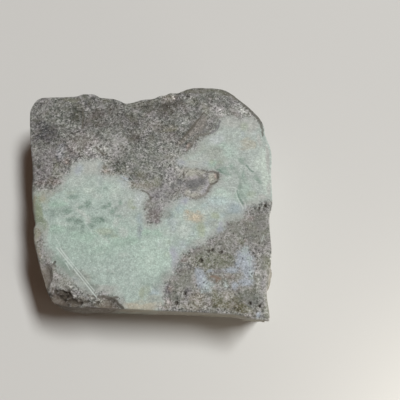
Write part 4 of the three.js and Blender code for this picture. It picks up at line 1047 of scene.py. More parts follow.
def stone_surface(rim):
    """The whole skin of the stone: its points, its faces and each point's share of a pit."""
    across, up = RIM_SIDES["sawn front"]["cells"], RIM_SIDES["broken right"]["cells"]
    columns = 2 * (across + up)
    wall = stone_wall(rim)
    rows = len(wall)

    top = stone_top(np.stack([wall[0, :, 0], wall[0, :, 1]], axis=1), across, up)[1:-1, 1:-1]
    inner_x, inner_y = top[..., 0], top[..., 1]
    level = np.full(inner_x.shape, THICKNESS)
    pit, pit_depth = pit_share(inner_x, inner_y)
    fall = broken_downward(inner_x, inner_y, level)
    crumbled = crumbled_depth(inner_x, inner_y)
    inner = np.stack([inner_x, inner_y, level - fall - pit_depth - crumbled], axis=2)

    sole = wall[-1]
    middle = sole.mean(axis=0)
    share = np.linspace(1, 0, UNDERSIDE_RINGS + 1)[1:-1, None, None]
    under = middle + (sole[None] - middle) * share

    points = np.vstack([wall.reshape(-1, 3), inner.reshape(-1, 3), under.reshape(-1, 3), middle[None]])
    wall_at = np.arange(rows * columns).reshape(rows, columns)
    inner_at = rows * columns + np.arange(inner_x.size).reshape(inner_x.shape)
    under_at = inner_at[-1, -1] + 1 + np.arange(under.shape[0] * columns).reshape(-1, columns)
    middle_at = len(points) - 1

    patch_at = np.empty((up + 1, across + 1), int)
    ring = wall_at[0]
    patch_at[1:-1, 1:-1] = inner_at
    patch_at[0] = ring[:across + 1]
    patch_at[:, -1] = ring[across:across + up + 1]
    patch_at[-1] = ring[across + up:2 * across + up + 1][::-1]
    patch_at[1:, 0] = ring[2 * across + up:][::-1]
    patch_at[0, 0] = ring[0]

    down_at = np.vstack([wall_at, under_at])
    next_at = np.roll(down_at, -1, axis=1)
    side_faces = np.stack([down_at[1:], next_at[1:], next_at[:-1], down_at[:-1]], axis=2)
    near, beyond = patch_at[:-1], patch_at[1:]
    top_faces = np.stack([near[:, :-1], near[:, 1:], beyond[:, 1:], beyond[:, :-1]], axis=2)
    fan = np.stack([down_at[-1], np.full(columns, middle_at), next_at[-1]], axis=1)
    faces = side_faces.reshape(-1, 4).tolist() + top_faces.reshape(-1, 4).tolist() + fan.tolist()

    pits = np.zeros(len(points))
    pits[inner_at] = pit
    return points, faces, pits


# ---- The pattern, worked out at every point of the skin ----

# The pattern wanders: the size of each wander and how far it goes. The shifts keep the two
# directions' wanders apart, and WANDER_DEPTH makes both change slowly down through the stone.
WANDERS = [(4.2, 0.45), (1.7, 0.3), (0.8, 0.16)]
WANDER_SHIFTS = (31.7, 7.3)
WANDER_DEPTH = 0.35
TINT_CORE = 0.45           # in half-lengths, where a tint begins to fade and where it ends
TINT_REACH = 1.45
PATCH_REACH = 2.0          # in half-lengths, how far outside a patch its field is followed
LINE_REACH = 0.9           # in mm, the same for a line


def pattern_place(points):
    """Where each point lies in the pattern on the top: x and y moved on the slant by the point's
    depth, then wandered by swells of each size."""
    depth = THICKNESS - points[:, 2]
    x, y = points[:, 0] + SLANT[0] * depth, points[:, 1] + SLANT[1] * depth
    z = points[:, 2] * WANDER_DEPTH
    for size, way in WANDERS:
        wander_x = way * swell(x / size, y / size, z / size + WANDER_SHIFTS[1])
        wander_y = way * swell(x / size + WANDER_SHIFTS[0], y / size, z / size)
        x, y = x + wander_x, y + wander_y
    return x, y


def inside_by(x, y, outline):
    """Signed distance to a closed outline, in mm and positive inside: the distance to the nearest
    edge, with its sign from how many edges cross the level line to the point's right."""
    nearest = np.full(x.shape, np.inf)
    inside = np.zeros(x.shape, bool)
    for (ax, ay), (bx, by) in zip(outline, outline[1:] + outline[:1]):
        nearest = np.minimum(nearest, to_segment(x, y, (ax, ay), (bx, by)))
        crosses = (ay > y) != (by > y)
        if ay != by:
            inside ^= crosses & (x < (bx - ax) * (y - ay) / (by - ay) + ax)
    return np.where(inside, nearest, -nearest)


def to_segment(x, y, start, end):
    """Distance to a straight line between two places: across to it, or to its nearer end."""
    run = np.subtract(end, start)
    share = np.clip(((x - start[0]) * run[0] + (y - start[1]) * run[1]) / (run @ run), 0, 1)
    return np.hypot(x - start[0] - share * run[0], y - start[1] - share * run[1])


def line_field(x, y, lines):
    """1 on any of the lines, falling evenly to 0 at LINE_REACH."""
    field = np.zeros_like(x)
    for line in lines.values():
        for start, end in zip(line, line[1:]):
            field = np.maximum(field, 1 - to_segment(x, y, start, end) / LINE_REACH)
    return field


def tint_share(x, y, ellipses):
    """How much of a tint shows: its strength within each ellipse's core, easing to 0 outside."""
    share = np.zeros_like(x)
    for across, strength in ellipse_distances(x, y, ellipses):
        fall = ease(np.clip((TINT_REACH - across) / (TINT_REACH - TINT_CORE), 0, 1))
        share = np.maximum(share, strength * fall)
    return np.clip(share, 0, 1)


def patch_field(x, y, ellipses):
    """Above 0 inside a crisp patch and below 0 outside: 1 less the elliptical distance, less what
    the patch's strength lacks of 1."""
    field = np.full(x.shape, -PATCH_REACH)
    for across, strength in ellipse_distances(x, y, ellipses):
        field = np.maximum(field, strength - across)
    return field


def linear(colour):
    """A colour as the eye sees it, 0 to 255, as the light that it sends back, 0 to 1."""
    seen = np.array(colour, float) / 255
    return np.where(seen <= 0.04045, seen / 12.92, ((seen + 0.055) / 1.055) ** 2.4)


def glazed(x, y, ground, tints):
    """A ground colour with each tint laid over it in turn."""
    colour = np.broadcast_to(ground, (x.size, 3)).copy()
    for tint, ellipses in tints.values():
        colour = mix(colour, linear(tint), tint_share(x, y, ellipses)[:, None])
    return colour


# ---- Making meshes ----


def new_mesh_object(name, points, faces):
    """A mesh object at the origin from points in millimetres."""
    mesh = bpy.data.meshes.new(name)
    mesh.from_pydata((np.asarray(points) * MM).tolist(), [], faces)
    mesh.update()
    piece = bpy.data.objects.new(name, mesh)
    bpy.context.scene.collection.objects.link(piece)
    return piece


def give_values(piece, name, values):
    """A named value at every point of the piece, for its material to read."""
    layer = piece.data.attributes.new(name, "FLOAT", "POINT")
    layer.data.foreach_set("value", np.ascontiguousarray(values, np.float32).ravel())


def give_colours(piece, name, colours):
    """A named colour at every point of the piece, for its material to read."""
    layer = piece.data.attributes.new(name, "FLOAT_COLOR", "POINT")
    opaque = np.hstack([colours, np.ones((len(colours), 1))])
    layer.data.foreach_set("color", np.ascontiguousarray(opaque, np.float32).ravel())


def make_slab():
    """The stone, with its pattern's values on its points, where the solid is."""
    points, faces, pits = stone_surface(trace_rim())
    x, y = pattern_place(points)
    solid_middle = [(low_corner[axis] + high_corner[axis]) / 2 / MM for axis in range(2)]
    shift = np.array([solid_middle[0] - RIM_MIDDLE[0], solid_middle[1] - RIM_MIDDLE[1], 0])
    slab = new_mesh_object("larimar_stone", points + shift, faces)
    slab.data.shade_smooth()

    inside = inside_by(x, y, LARIMAR_EDGE)
    bleached = BLEACHED_SHARE * ease(np.clip(1 + inside / BLEACHED_REACH, 0, 1))
    basalt = glazed(x, y, linear(BASALT_COLOUR), BASALT_GROUNDS)
    basalt = mix(basalt, np.maximum(basalt, linear(BLEACHED_COLOUR)), bleached[:, None])
    # The basalt's tints include painted shade in the broken front-left corner.
    basalt = glazed(x, y, basalt, BASALT_TINTS)
    give_colours(slab, "larimar tint", glazed(x, y, linear(LARIMAR_COLOUR), LARIMAR_TINTS))
    give_colours(slab, "basalt tint", basalt)
    give_values(slab, "larimar", inside)
    give_values(slab, "calm", tint_share(x, y, CALM))
    for name, ellipses in PATCHES.items():
        give_values(slab, name, patch_field(x, y, ellipses))
    for name, lines in LINES.items():
        give_values(slab, name, line_field(x, y, lines))
    give_values(slab, "pits", pits)
    give_values(slab, "depth", THICKNESS - points[:, 2])
    return slab, shift


# ---- Shader parts ----

FLOAT, VECTOR, COLOUR = "NodeSocketFloat", "NodeSocketVector", "NodeSocketColor"
LEVEL = (1.0, 1.0, 0.0)     # times this, a place loses its height


def put(tree, kind, inputs=None, **settings):
    """A shader node with its settings made and its inputs joined to sockets or set to values."""
    node = tree.nodes.new(kind)
    for name, value in settings.items():
        setattr(node, name, value)
    for name, value in (inputs or {}).items():
        if isinstance(value, bpy.types.NodeSocket):
            tree.links.new(value, node.inputs[name])
        else:
            node.inputs[name].default_value = value
    return node


def use(tree, group, inputs):
    """A placed node group's outputs."""
    return put(tree, "ShaderNodeGroup", inputs, node_tree=group).outputs


def worked(tree, operation, *values, clamp=False):
    """The output of one Math node."""
    inputs = dict(enumerate(values))
    return put(tree, "ShaderNodeMath", inputs, operation=operation, use_clamp=clamp).outputs[0]


def plus(tree, total, *others):
    """Values added up."""
    for other in others:
        total = worked(tree, "ADD", total, other)
    return total


def less(tree, value, other, clamp=False):
    """One value less another."""
    return worked(tree, "SUBTRACT", value, other, clamp=clamp)


def times(tree, product, *others):
    """Values multiplied together."""
    for other in others:
        product = worked(tree, "MULTIPLY", product, other)
    return product


def vectors(tree, operation, a, b, output="Vector"):
    """An output of one Vector Math node."""
    return put(tree, "ShaderNodeVectorMath", {0: a, 1: b}, operation=operation).outputs[output]


def scaled(tree, vector, amount):
    """A vector or a colour times a value."""
    return put(tree, "ShaderNodeVectorMath", {0: vector, "Scale": amount}, operation="SCALE").outputs[0]


def blend(tree, share, below, above, how="MIX"):
    """One colour over another by a share. The Mix node's colour inputs are its seventh and eighth."""
    node = put(tree, "ShaderNodeMix", {0: share, 6: below, 7: above}, data_type="RGBA", blend_type=how)
    return node.outputs[2]


def mix_value(tree, share, below, above):
    """One value over another by a share."""
    return put(tree, "ShaderNodeMix", {0: share, 2: below, 3: above}, data_type="FLOAT").outputs[0]


def step_up(tree, value, low, high):
    """0 below `low` and 1 above `high`, smoothly, or the other way round where `low` is the larger."""
    inputs = {"Value": value, "From Min": low, "From Max": high}
    return put(tree, "ShaderNodeMapRange", inputs, interpolation_type="SMOOTHSTEP").outputs["Result"]


def noise(tree, place, scale, detail=4.0, roughness=0.6, distortion=0.0):
    """Noise from about 0 to 1, its lumps 1/scale mm across."""
    inputs = {
        "Vector": place, "Scale": scale, "Detail": detail, "Roughness": roughness,
        "Distortion": distortion,
    }
    return put(tree, "ShaderNodeTexNoise", inputs, normalize=True).outputs["Fac"]


def about_none(tree, value, gain):
    """A noise about 0, times a gain."""
    return times(tree, less(tree, value, 0.5), gain)


def uneven(tree, place, scale, detail, roughness, distortion, gain):
    """Noise about 0, times a gain."""
    return about_none(tree, noise(tree, place, scale, detail, roughness, distortion), gain)


def cloudy(tree, place, scale, detail, roughness, distortion, low, high):
    """Clouds of 1 on 0: where a noise passes from `low` to `high`."""
    return step_up(tree, noise(tree, place, scale, detail, roughness, distortion), low, high)


def crystals(tree, place, scale):
    """Cells 1/scale mm across: each cell's three random values, and the distance from its seed."""
    cells = put(tree, "ShaderNodeTexVoronoi", {"Vector": place, "Scale": scale}).outputs
    return put(tree, "ShaderNodeSeparateColor", {"Color": cells["Color"]}).outputs, cells["Distance"]


def lighter(tree, colour, stops):
    """A colour made lighter or darker by stops of light: times 2 to their power."""
    return scaled(tree, colour, worked(tree, "POWER", 2.0, stops))


def rgba(colour):
    """A colour from 0 to 255 as a colour socket takes it."""
    return (*linear(colour).tolist(), 1.0)


def attribute(tree, name, output="Fac"):
    """A value that give_values or give_colours has put on the piece's points."""
    return put(tree, "ShaderNodeAttribute", attribute_type="GEOMETRY", attribute_name=name).outputs[output]


def new_group(name, inputs, outputs):
    """An empty shader node group with named sockets: its tree, its inputs and its output node."""
    tree = bpy.data.node_groups.new(name, "ShaderNodeTree")
    for title, (kind, value) in inputs.items():
        socket = tree.interface.new_socket(title, in_out="INPUT", socket_type=kind)
        if value is not None:
            socket.default_value = value
    for title, kind in outputs.items():
        tree.interface.new_socket(title, in_out="OUTPUT", socket_type=kind)
    return tree, tree.nodes.new("NodeGroupInput").outputs, tree.nodes.new("NodeGroupOutput")


def finish_group(tree, result, **sockets):
    """Joins the group's results by their names."""
    for name, socket in sockets.items():
        tree.links.new(socket, result.inputs[name])
    return tree


# ---- Shader groups ----

# Noises about 0: scale, detail, roughness, distortion and gain in stops of light. The two for torn
# edges take their gain from the group's inputs.
EDGE_LUMPS = (0.8, 4.0, 0.6, 0.0)
EDGE_GRAINS = (1.9, 4.0, 0.7, 0.0)
BASALT_MOTTLE = (0.42, 5.0, 0.6, 0.4, 2.8)
BASALT_CLUMPS = (0.95, 3.0, 0.5, 0.0, 4.0)
BASALT_MEAL = (2.2, 4.0, 0.8, 0.0, 4.6)
BASALT_UNEVENNESS = (0.3, 2.0, 0.5, 0.0, 1.6)
LARIMAR_CLOUD = (0.3, 5.0, 0.55, 0.8, 0.6)
LARIMAR_MOTTLE = (0.7, 4.0, 0.65, 0.3, 1.75)
LARIMAR_MEAL = (2.2, 3.0, 0.8, 0.0, 1.8)
LARIMAR_FIBRE = (1.0, 3.0, 0.7, 0.4, 3.0)

# Clouds: scale, detail, roughness, distortion, and the noise values between which they come in.
BASALT_CAST = (0.34, 1.0, 0.4, 0.0, 0.3, 0.7)
BASALT_OLIVE = (0.36, 2.0, 0.5, 0.0, 0.46, 0.7)
LARIMAR_WISPS = (0.5, 6.0, 0.65, 1.6, 0.54, 0.7)
LARIMAR_SMUDGES = (0.7, 5.0, 0.65, 1.2, 0.56, 0.7)
SAW_BITE = (0.09, 2.0, 0.5, 0.0, 0.4, 0.7)
SCRATCH_SKIPS = (0.9, 3.0, 0.6, 0.0, 0.3, 0.45)

CRYSTAL_SCALE = 1.6        # cells to a millimetre
SUGAR_SCALE = 2.7
CRYSTAL_GAIN = 1.1         # stops
BASALT_SUGAR_GAIN = 1.7
LARIMAR_SUGAR_GAIN = 0.6
WANDER_SCALE = 1.3         # the noise that bends the crystals' edges, and how many mm it bends them
WANDER_DETAIL = 3.0
CRYSTAL_WANDER = (1.1, 1.1, 1.1)
LILAC_CAST = (1.02, 0.995, 1.02, 1.0)
GREEN_CAST = (0.975, 1.0, 0.97, 1.0)
GLINT_FROM = 0.45          # stops above the ground past which a grain lightens less
GLINT_CUT = 0.35
BASALT_SINK = 0.08         # stops that the ground is sunk by, since grains lighten it on the whole
GREYED_STOPS = (-0.3, 0.5)  # between these stops a grain turns greyer than the ground
GREYED_SATURATION = 0.35
OLIVE_SHARE = 0.2
FLECK_EDGE = (0.5, 0.22)   # distances from a crystal's seed between which its fleck comes in
FELSPAR_PICK = (0.8, 0.86)  # random values above which a crystal is a light fleck
DARK_PICK = (0.84, 0.9)
FELSPAR_SHARE = 0.5
DARK_SHARE = 0.7
GRAIN_TOOTH = 0.4          # how far a light grain stands up, where a dark fleck sinks by 1
WISP_SHARE = 0.4
SMUDGE_SHARE = 0.35
FIBRE_TURN = 55            # degrees
FIBRE_SCALE = (0.28, 2.0, 1.0)
SAW_DETAIL = 3.0


def make_torn_mask():
    """Torn Mask: a smooth field made a patch whose edge is torn by lumps and broken by grains."""
    tree, given, result = new_group("Torn Mask", {
        "Vector": (VECTOR, None),
        "Field": (FLOAT, 0.0),
        "Edge": (FLOAT, 0.0),
        "Tear": (FLOAT, 0.6),
        "Grain": (FLOAT, 0.6),
        "Softness": (FLOAT, 0.15),
    }, {"Mask": FLOAT})
    tear = uneven(tree, given["Vector"], *EDGE_LUMPS, given["Tear"])
    grain = uneven(tree, given["Vector"], *EDGE_GRAINS, given["Grain"])
    torn = plus(tree, less(tree, given["Field"], given["Edge"]), tear, grain)
    mask = step_up(tree, torn, times(tree, given["Softness"], -1.0), given["Softness"])
    return finish_group(tree, result, Mask=mask)


def make_basalt_grain():
    """Basalt Grain: a ground colour broken into lighter and darker crystals, with light felspar
    flecks, dark flecks and a wash of olive."""
    tree, given, result = new_group("Basalt Grain", {
        "Vector": (VECTOR, None),
        "Ground": (COLOUR, (0.18, 0.18, 0.17, 1.0)),
        "Contrast": (FLOAT, 1.0),
        "Olive": (COLOUR, (0.17, 0.165, 0.11, 1.0)),
        "Felspar": (COLOUR, (0.5, 0.505, 0.48, 1.0)),
        "Dark": (COLOUR, (0.035, 0.034, 0.03, 1.0)),
    }, {"Color": COLOUR, "Height": FLOAT})
    place = given["Vector"]
    wander = put(tree, "ShaderNodeTexNoise", {
        "Vector": place, "Scale": WANDER_SCALE, "Detail": WANDER_DETAIL,
    })
    wandered = put(tree, "ShaderNodeVectorMath", {
        0: wander.outputs["Color"], 1: CRYSTAL_WANDER, 2: place,
    }, operation="MULTIPLY_ADD").outputs[0]
    picked, from_seed = crystals(tree, wandered, CRYSTAL_SCALE)
    sugar, _ = crystals(tree, place, SUGAR_SCALE)

    mottle = uneven(tree, place, *BASALT_MOTTLE)
    clumps = uneven(tree, place, *BASALT_CLUMPS)
    meal = uneven(tree, place, *BASALT_MEAL)
    facets = plus(tree, about_none(tree, picked["Red"], CRYSTAL_GAIN),
                  about_none(tree, sugar["Red"], BASALT_SUGAR_GAIN))
    unevenness = plus(tree, 1.0, uneven(tree, place, *BASALT_UNEVENNESS))
    stops = times(tree, plus(tree, mottle, clumps, meal, facets), given["Contrast"], unevenness)
    glint = worked(tree, "MAXIMUM", less(tree, stops, GLINT_FROM), 0.0)
    stops = less(tree, stops, times(tree, glint, GLINT_CUT))

    colour = lighter(tree, given["Ground"], less(tree, stops, BASALT_SINK))
    greyed = {"Color": colour, "Saturation": GREYED_SATURATION}
    grey = put(tree, "ShaderNodeHueSaturation", greyed).outputs[0]
    colour = blend(tree, step_up(tree, stops, *GREYED_STOPS), colour, grey)
    lilac = blend(tree, 1.0, colour, LILAC_CAST, "MULTIPLY")
    green = blend(tree, 1.0, colour, GREEN_CAST, "MULTIPLY")
    colour = blend(tree, cloudy(tree, place, *BASALT_CAST), lilac, green)
    olive = times(tree, cloudy(tree, place, *BASALT_OLIVE), OLIVE_SHARE)
    colour = blend(tree, olive, colour, given["Olive"])

    fleck = step_up(tree, from_seed, *FLECK_EDGE)
    light = times(tree, step_up(tree, picked["Green"], *FELSPAR_PICK), fleck)
    dark = times(tree, step_up(tree, picked["Blue"], *DARK_PICK), fleck)
    colour = blend(tree, times(tree, light, FELSPAR_SHARE), colour, given["Felspar"])
    colour = blend(tree, times(tree, dark, DARK_SHARE), colour, given["Dark"])
    height = less(tree, times(tree, plus(tree, meal, facets), GRAIN_TOOTH), dark)
    return finish_group(tree, result, Color=colour, Height=height)


def make_larimar_clouds():
    """Larimar Clouds: a tint softly clouded and finely mealy, with milky wisps, darker smudges and
    a hatch of fine fibres."""
    tree, given, result = new_group("Larimar Clouds", {
        "Vector": (VECTOR, None),
        "Tint": (COLOUR, (0.4, 0.47, 0.42, 1.0)),
        "Milk": (COLOUR, (0.56, 0.61, 0.57, 1.0)),
        "Shade": (COLOUR, (0.24, 0.31, 0.26, 1.0)),
        "Contrast": (FLOAT, 1.0),
        "Hatch": (FLOAT, 0.0),
    }, {"Color": COLOUR, "Height": FLOAT})
    place = given["Vector"]
    cloud = uneven(tree, place, *LARIMAR_CLOUD)
    mottle = uneven(tree, place, *LARIMAR_MOTTLE)
    sugar, _ = crystals(tree, place, SUGAR_SCALE)
    meal = uneven(tree, place, *LARIMAR_MEAL)
    meal = plus(tree, meal, about_none(tree, sugar["Red"], LARIMAR_SUGAR_GAIN))
    stops = plus(tree, cloud, mottle, meal)
    colour = lighter(tree, given["Tint"], times(tree, stops, given["Contrast"]))

    wisps = times(tree, cloudy(tree, place, *LARIMAR_WISPS), WISP_SHARE)
    colour = blend(tree, wisps, colour, given["Milk"])
    smudges = times(tree, cloudy(tree, place, *LARIMAR_SMUDGES), SMUDGE_SHARE, given["Contrast"])
    colour = blend(tree, smudges, colour, given["Shade"])

    turn = (0.0, 0.0, math.radians(FIBRE_TURN))
    along_fibres = {"Vector": place, "Rotation": turn, "Scale": FIBRE_SCALE}
    fibres = put(tree, "ShaderNodeMapping", along_fibres).outputs[0]
    fibre = uneven(tree, fibres, *LARIMAR_FIBRE)
    colour = lighter(tree, colour, times(tree, fibre, given["Hatch"]))
    return finish_group(tree, result, Color=colour, Height=plus(tree, mottle, meal))


def make_saw_marks():
    """Saw Marks: faint arcs about a far-off centre, deeper in some places than in others."""
    tree, given, result = new_group("Saw Marks", {
        "Vector": (VECTOR, None),
        "Spacing": (FLOAT, 0.9),
    }, {"Height": FLOAT})
    from_centre = vectors(tree, "SUBTRACT", given["Vector"], (*SAW_CENTRE, 0.0))
    level = vectors(tree, "MULTIPLY", from_centre, LEVEL)
    radius = put(tree, "ShaderNodeVectorMath", {0: level}, operation="LENGTH").outputs["Value"]
    turns = {"W": worked(tree, "DIVIDE", radius, given["Spacing"]), "Scale": 1.0, "Detail": SAW_DETAIL}
    arcs = put(tree, "ShaderNodeTexNoise", turns, noise_dimensions="1D").outputs["Fac"]
    height = times(tree, less(tree, arcs, 0.5), cloudy(tree, given["Vector"], *SAW_BITE))
    return finish_group(tree, result, Height=height)


def make_scratch():
    """Scratch: 1 along Run from Start, falling to 0 at Half Width from it, and broken by noise."""
    tree, given, result = new_group("Scratch", {
        "Vector": (VECTOR, None),
        "Start": (VECTOR, (0.0, 0.0, 0.0)),
        "Run": (VECTOR, (1.0, 0.0, 0.0)),
        "Half Width": (FLOAT, 0.1),
    }, {"Mask": FLOAT})
    level = vectors(tree, "MULTIPLY", given["Vector"], LEVEL)
    from_start = vectors(tree, "SUBTRACT", level, given["Start"])
    ahead = vectors(tree, "DOT_PRODUCT", from_start, given["Run"], "Value")
    whole = vectors(tree, "DOT_PRODUCT", given["Run"], given["Run"], "Value")
    along = worked(tree, "DIVIDE", ahead, whole, clamp=True)
    away = vectors(tree, "DISTANCE", from_start, scaled(tree, given["Run"], along), "Value")
    share = less(tree, 1.0, worked(tree, "DIVIDE", away, given["Half Width"]), clamp=True)
    skips = cloudy(tree, given["Vector"], *SCRATCH_SKIPS)
    return finish_group(tree, result, Mask=times(tree, share, skips))


# ---- The stone's material ----

PATCH_LOOKS = {
    # name: colour, share shown, tear, grain, softness
    "lilac": ((158, 167, 176), 0.88, 1.1, 2.2, 0.6),
    "pale turquoise": ((170, 183, 182), 0.75, 1.1, 2.0, 0.7),
    "cream": ((167, 168, 157), 0.75, 0.8, 1.8, 0.55),
    "lilac ring": ((156, 156, 159), 0.8, 0.4, 1.0, 0.45),
    "ochre": ((185, 172, 149), 0.8, 0.9, 2.0, 0.8),
    "hook pink": ((158, 145, 136), 0.7, 0.6, 1.2, 0.6),
    "vein": ((134, 130, 124), 0.75, 0.8, 1.4, 0.5),
    "dusk": ((103, 104, 105), 0.85, 0.7, 1.6, 0.4),
    "teal spot": ((132, 153, 143), 0.6, 0.8, 1.6, 0.5),
}
LINE_LOOKS = {
    # name: colour, share shown, where its edge falls, tear, grain, softness
    "shades": ((124, 142, 131), 0.5, 0.45, 0.9, 1.4, 0.5),
    "crust": ((92, 92, 83), 0.8, 0.55, 0.5, 0.8, 0.2),
    "cracks": ((94, 118, 106), 0.75, 0.68, 0.5, 0.8, 0.25),
    "streaks": ((124, 107, 92), 0.8, 0.66, 0.6, 1.6, 0.3),
    # The outlines' colour also paints the shadow lines at the broken flake.
    "outlines": ((86, 83, 74), 0.85, 0.68, 0.35, 0.8, 0.25),
    "faint outlines": ((112, 110, 102), 0.7, 0.64, 0.5, 1.0, 0.35),
}
PATCH_GRAIN = 1.0              # how much of the basalt's grain shows in a patch

# Torn edges: where the edge falls on its field, in mm, then tear, grain and softness. The larimar's
# field runs inwards from its edge and the halo's runs outwards.
LARIMAR_TORN = (0.0, 2.6, 4.2, 1.3)
HALO_TORN = (-1.0, 1.8, 2.6, 1.0)
HALO_COLOUR = (172, 178, 174)
HALO_SHARE = 0.55

CALM_CUT = 0.68                # contrast that the calmest basalt lacks
LARIMAR_CONTRAST = 0.75
HATCH_SHARE = 0.28
HATCH_COMES_IN = (2.0, 14.0)   # between these two x

# Painted shade in the pits: each darkens towards its floor, as shade falls in a hollow.
PIT_EDGE = (0.08, 0.4)         # shares of a pit's depth between which it darkens
PIT_SHADE_SHARE = 0.72
PIT_SHADE_COLOUR = (58, 52, 43)
# The wall below the top: a dark brown on the left, partly weathering and partly painted shade, since the
# left of the stone lies in shade, passing into pale dusty sawn stone on the right.
WALL_TINT_COMES_IN = (0.2, 1.4)  # between these two depths
WALL_TINT_ENDS = 19.0          # depth where it begins to fade towards the underside
WEATHERED_AND_SHADED_COLOUR = (104, 95, 84)
WALL_TINT_SHARE = 0.6
DUSTY_SAWN_COLOUR = (154, 150, 138)
DUSTY_COMES_IN = (-12.0, 6.0)  # between these two x
TOP_ENDS = (0.6, 0.2)          # depths between which the sawn top's finish comes in
SCRATCH_COLOUR = (203, 214, 209)
SCRATCH_SHARE = 0.85
SCRATCH_SPREAD = 1.6           # how many half-widths out a scratch fades away

# Bump: how much each thing raises or sinks the surface, and the whole bump's strength and height.
GRAIN_BUMP = 0.6
SAW_BUMP = 0.8
SCRATCH_BUMP = 1.2
BUMP_STRENGTH = 0.5
BUMP_HEIGHT = 0.06

BASALT_ROUGHNESS = 0.75
LARIMAR_ROUGHNESS = 0.62
BROKEN_ROUGHNESS = 0.85
ROUGHNESS_SCALE = 0.8
ROUGHNESS_SPREAD = 0.25
STONE_SHINE = 0.4


def pattern_colour(tree, place, is_larimar, basalt, larimar, torn):
    """The pattern as it was before the stone was cut: larimar in basalt, with a paler halo inside
    the larimar's edge, then the patches and the lines. Three lines are painted shadow along the
    broken flake's steps."""
    colour = blend(tree, is_larimar, basalt["Color"], larimar["Color"])
    near_edge = torn(times(tree, attribute(tree, "larimar"), -1.0), *HALO_TORN)
    halo = times(tree, is_larimar, near_edge, HALO_SHARE)
    colour = blend(tree, halo, colour, rgba(HALO_COLOUR))

    for name, (patch_colour, shown, *edge) in PATCH_LOOKS.items():
        mask = torn(attribute(tree, name), 0.0, *edge)
        grain = times(tree, basalt["Height"], PATCH_GRAIN)
        grained = lighter(tree, rgba(patch_colour)[:3], grain)
        colour = blend(tree, times(tree, mask, shown), colour, grained)
    for name, (line_colour, shown, *edge) in LINE_LOOKS.items():
        mask = torn(attribute(tree, name), *edge)
        colour = blend(tree, times(tree, mask, shown), colour, rgba(line_colour))
    return colour


def scratched_share(tree, place):
    """How much the top is scratched at each place: the strongest of the scratches there."""
    scratch = make_scratch()
    masks = []
    for start, end, half_width, strength in SCRATCHES:
        mask = use(tree, scratch, {
            "Vector": place, "Start": (*start, 0.0), "Half Width": half_width * SCRATCH_SPREAD,
            "Run": (end[0] - start[0], end[1] - start[1], 0.0),
        })["Mask"]
        masks.append(times(tree, mask, strength))
    strongest = masks[0]
    for mask in masks[1:]:
        strongest = worked(tree, "MAXIMUM", strongest, mask)
    return strongest


def make_stone_material(shift):
    """The stone: its pattern, its wall's weathering and painted shade, its scratches, the painted
    shade in its pits, and its sawn top's marks.
    """
    material = bpy.data.materials.new("Larimar in basalt")
    material.use_nodes = True
    tree = material.node_tree
    principled = tree.nodes["Principled BSDF"]
    torn_mask = make_torn_mask()

    place = put(tree, "ShaderNodeMapping", {
        "Vector": put(tree, "ShaderNodeTexCoord").outputs["Object"],
        "Scale": (1 / MM, 1 / MM, 1 / MM), "Location": tuple((-shift).tolist()),
    }).outputs[0]
    x = put(tree, "ShaderNodeSeparateXYZ", {0: place}).outputs["X"]
    depth = attribute(tree, "depth")

    def torn(field, edge, tear, grain, softness):
        return use(tree, torn_mask, {
            "Vector": place, "Field": field, "Edge": edge, "Tear": tear, "Grain": grain,
            "Softness": softness,
        })["Mask"]

    calm = times(tree, attribute(tree, "calm"), CALM_CUT)
    basalt = use(tree, make_basalt_grain(), {
        "Vector": place, "Ground": attribute(tree, "basalt tint", "Color"),
        "Contrast": less(tree, 1.0, calm),
    })
    larimar = use(tree, make_larimar_clouds(), {
        "Vector": place, "Tint": attribute(tree, "larimar tint", "Color"),
        "Contrast": LARIMAR_CONTRAST,
        "Hatch": times(tree, step_up(tree, x, *HATCH_COMES_IN), HATCH_SHARE),
    })
    is_larimar = torn(attribute(tree, "larimar"), *LARIMAR_TORN)
    colour = pattern_colour(tree, place, is_larimar, basalt, larimar, torn)

    # Partly painted shade: the wall darkens to brown towards the left, where it lies in shade, with
    # weathering in the same colour.
    below_top = step_up(tree, depth, *WALL_TINT_COMES_IN)
    above_underside = step_up(tree, depth, THICKNESS, WALL_TINT_ENDS)
    wall_tint = times(tree, below_top, above_underside, WALL_TINT_SHARE)
    dusty = step_up(tree, x, *DUSTY_COMES_IN)
    rind = blend(tree, dusty, rgba(WEATHERED_AND_SHADED_COLOUR), rgba(DUSTY_SAWN_COLOUR))
    colour = blend(tree, wall_tint, colour, rind)

    on_top = step_up(tree, depth, *TOP_ENDS)
    scratched = times(tree, scratched_share(tree, place), on_top)
    colour = blend(tree, times(tree, scratched, SCRATCH_SHARE), colour, rgba(SCRATCH_COLOUR))
    # Painted shade: the pits darken towards their floors.
    pit_shade = times(tree, step_up(tree, attribute(tree, "pits"), *PIT_EDGE), PIT_SHADE_SHARE)
    colour = blend(tree, pit_shade, colour, rgba(PIT_SHADE_COLOUR))
    tree.links.new(colour, principled.inputs["Base Color"])

    grain = mix_value(tree, is_larimar, basalt["Height"], larimar["Height"])
    saw = use(tree, make_saw_marks(), {"Vector": place})["Height"]
    height = plus(tree, times(tree, grain, GRAIN_BUMP), times(tree, saw, on_top, SAW_BUMP))
    height = less(tree, height, times(tree, scratched, SCRATCH_BUMP))
    bump = put(tree, "ShaderNodeBump", {
        "Strength": BUMP_STRENGTH, "Distance": BUMP_HEIGHT * MM, "Height": height,
    })
    tree.links.new(bump.outputs["Normal"], principled.inputs["Normal"])

    sawn = mix_value(tree, is_larimar, BASALT_ROUGHNESS, LARIMAR_ROUGHNESS)
    gloss = mix_value(tree, on_top, BROKEN_ROUGHNESS, sawn)
    spread = about_none(tree, noise(tree, place, ROUGHNESS_SCALE), ROUGHNESS_SPREAD)
    tree.links.new(plus(tree, gloss, spread), principled.inputs["Roughness"])
    principled.inputs["Specular IOR Level"].default_value = STONE_SHINE
    return material


# ---- The floor, the light and the camera ----

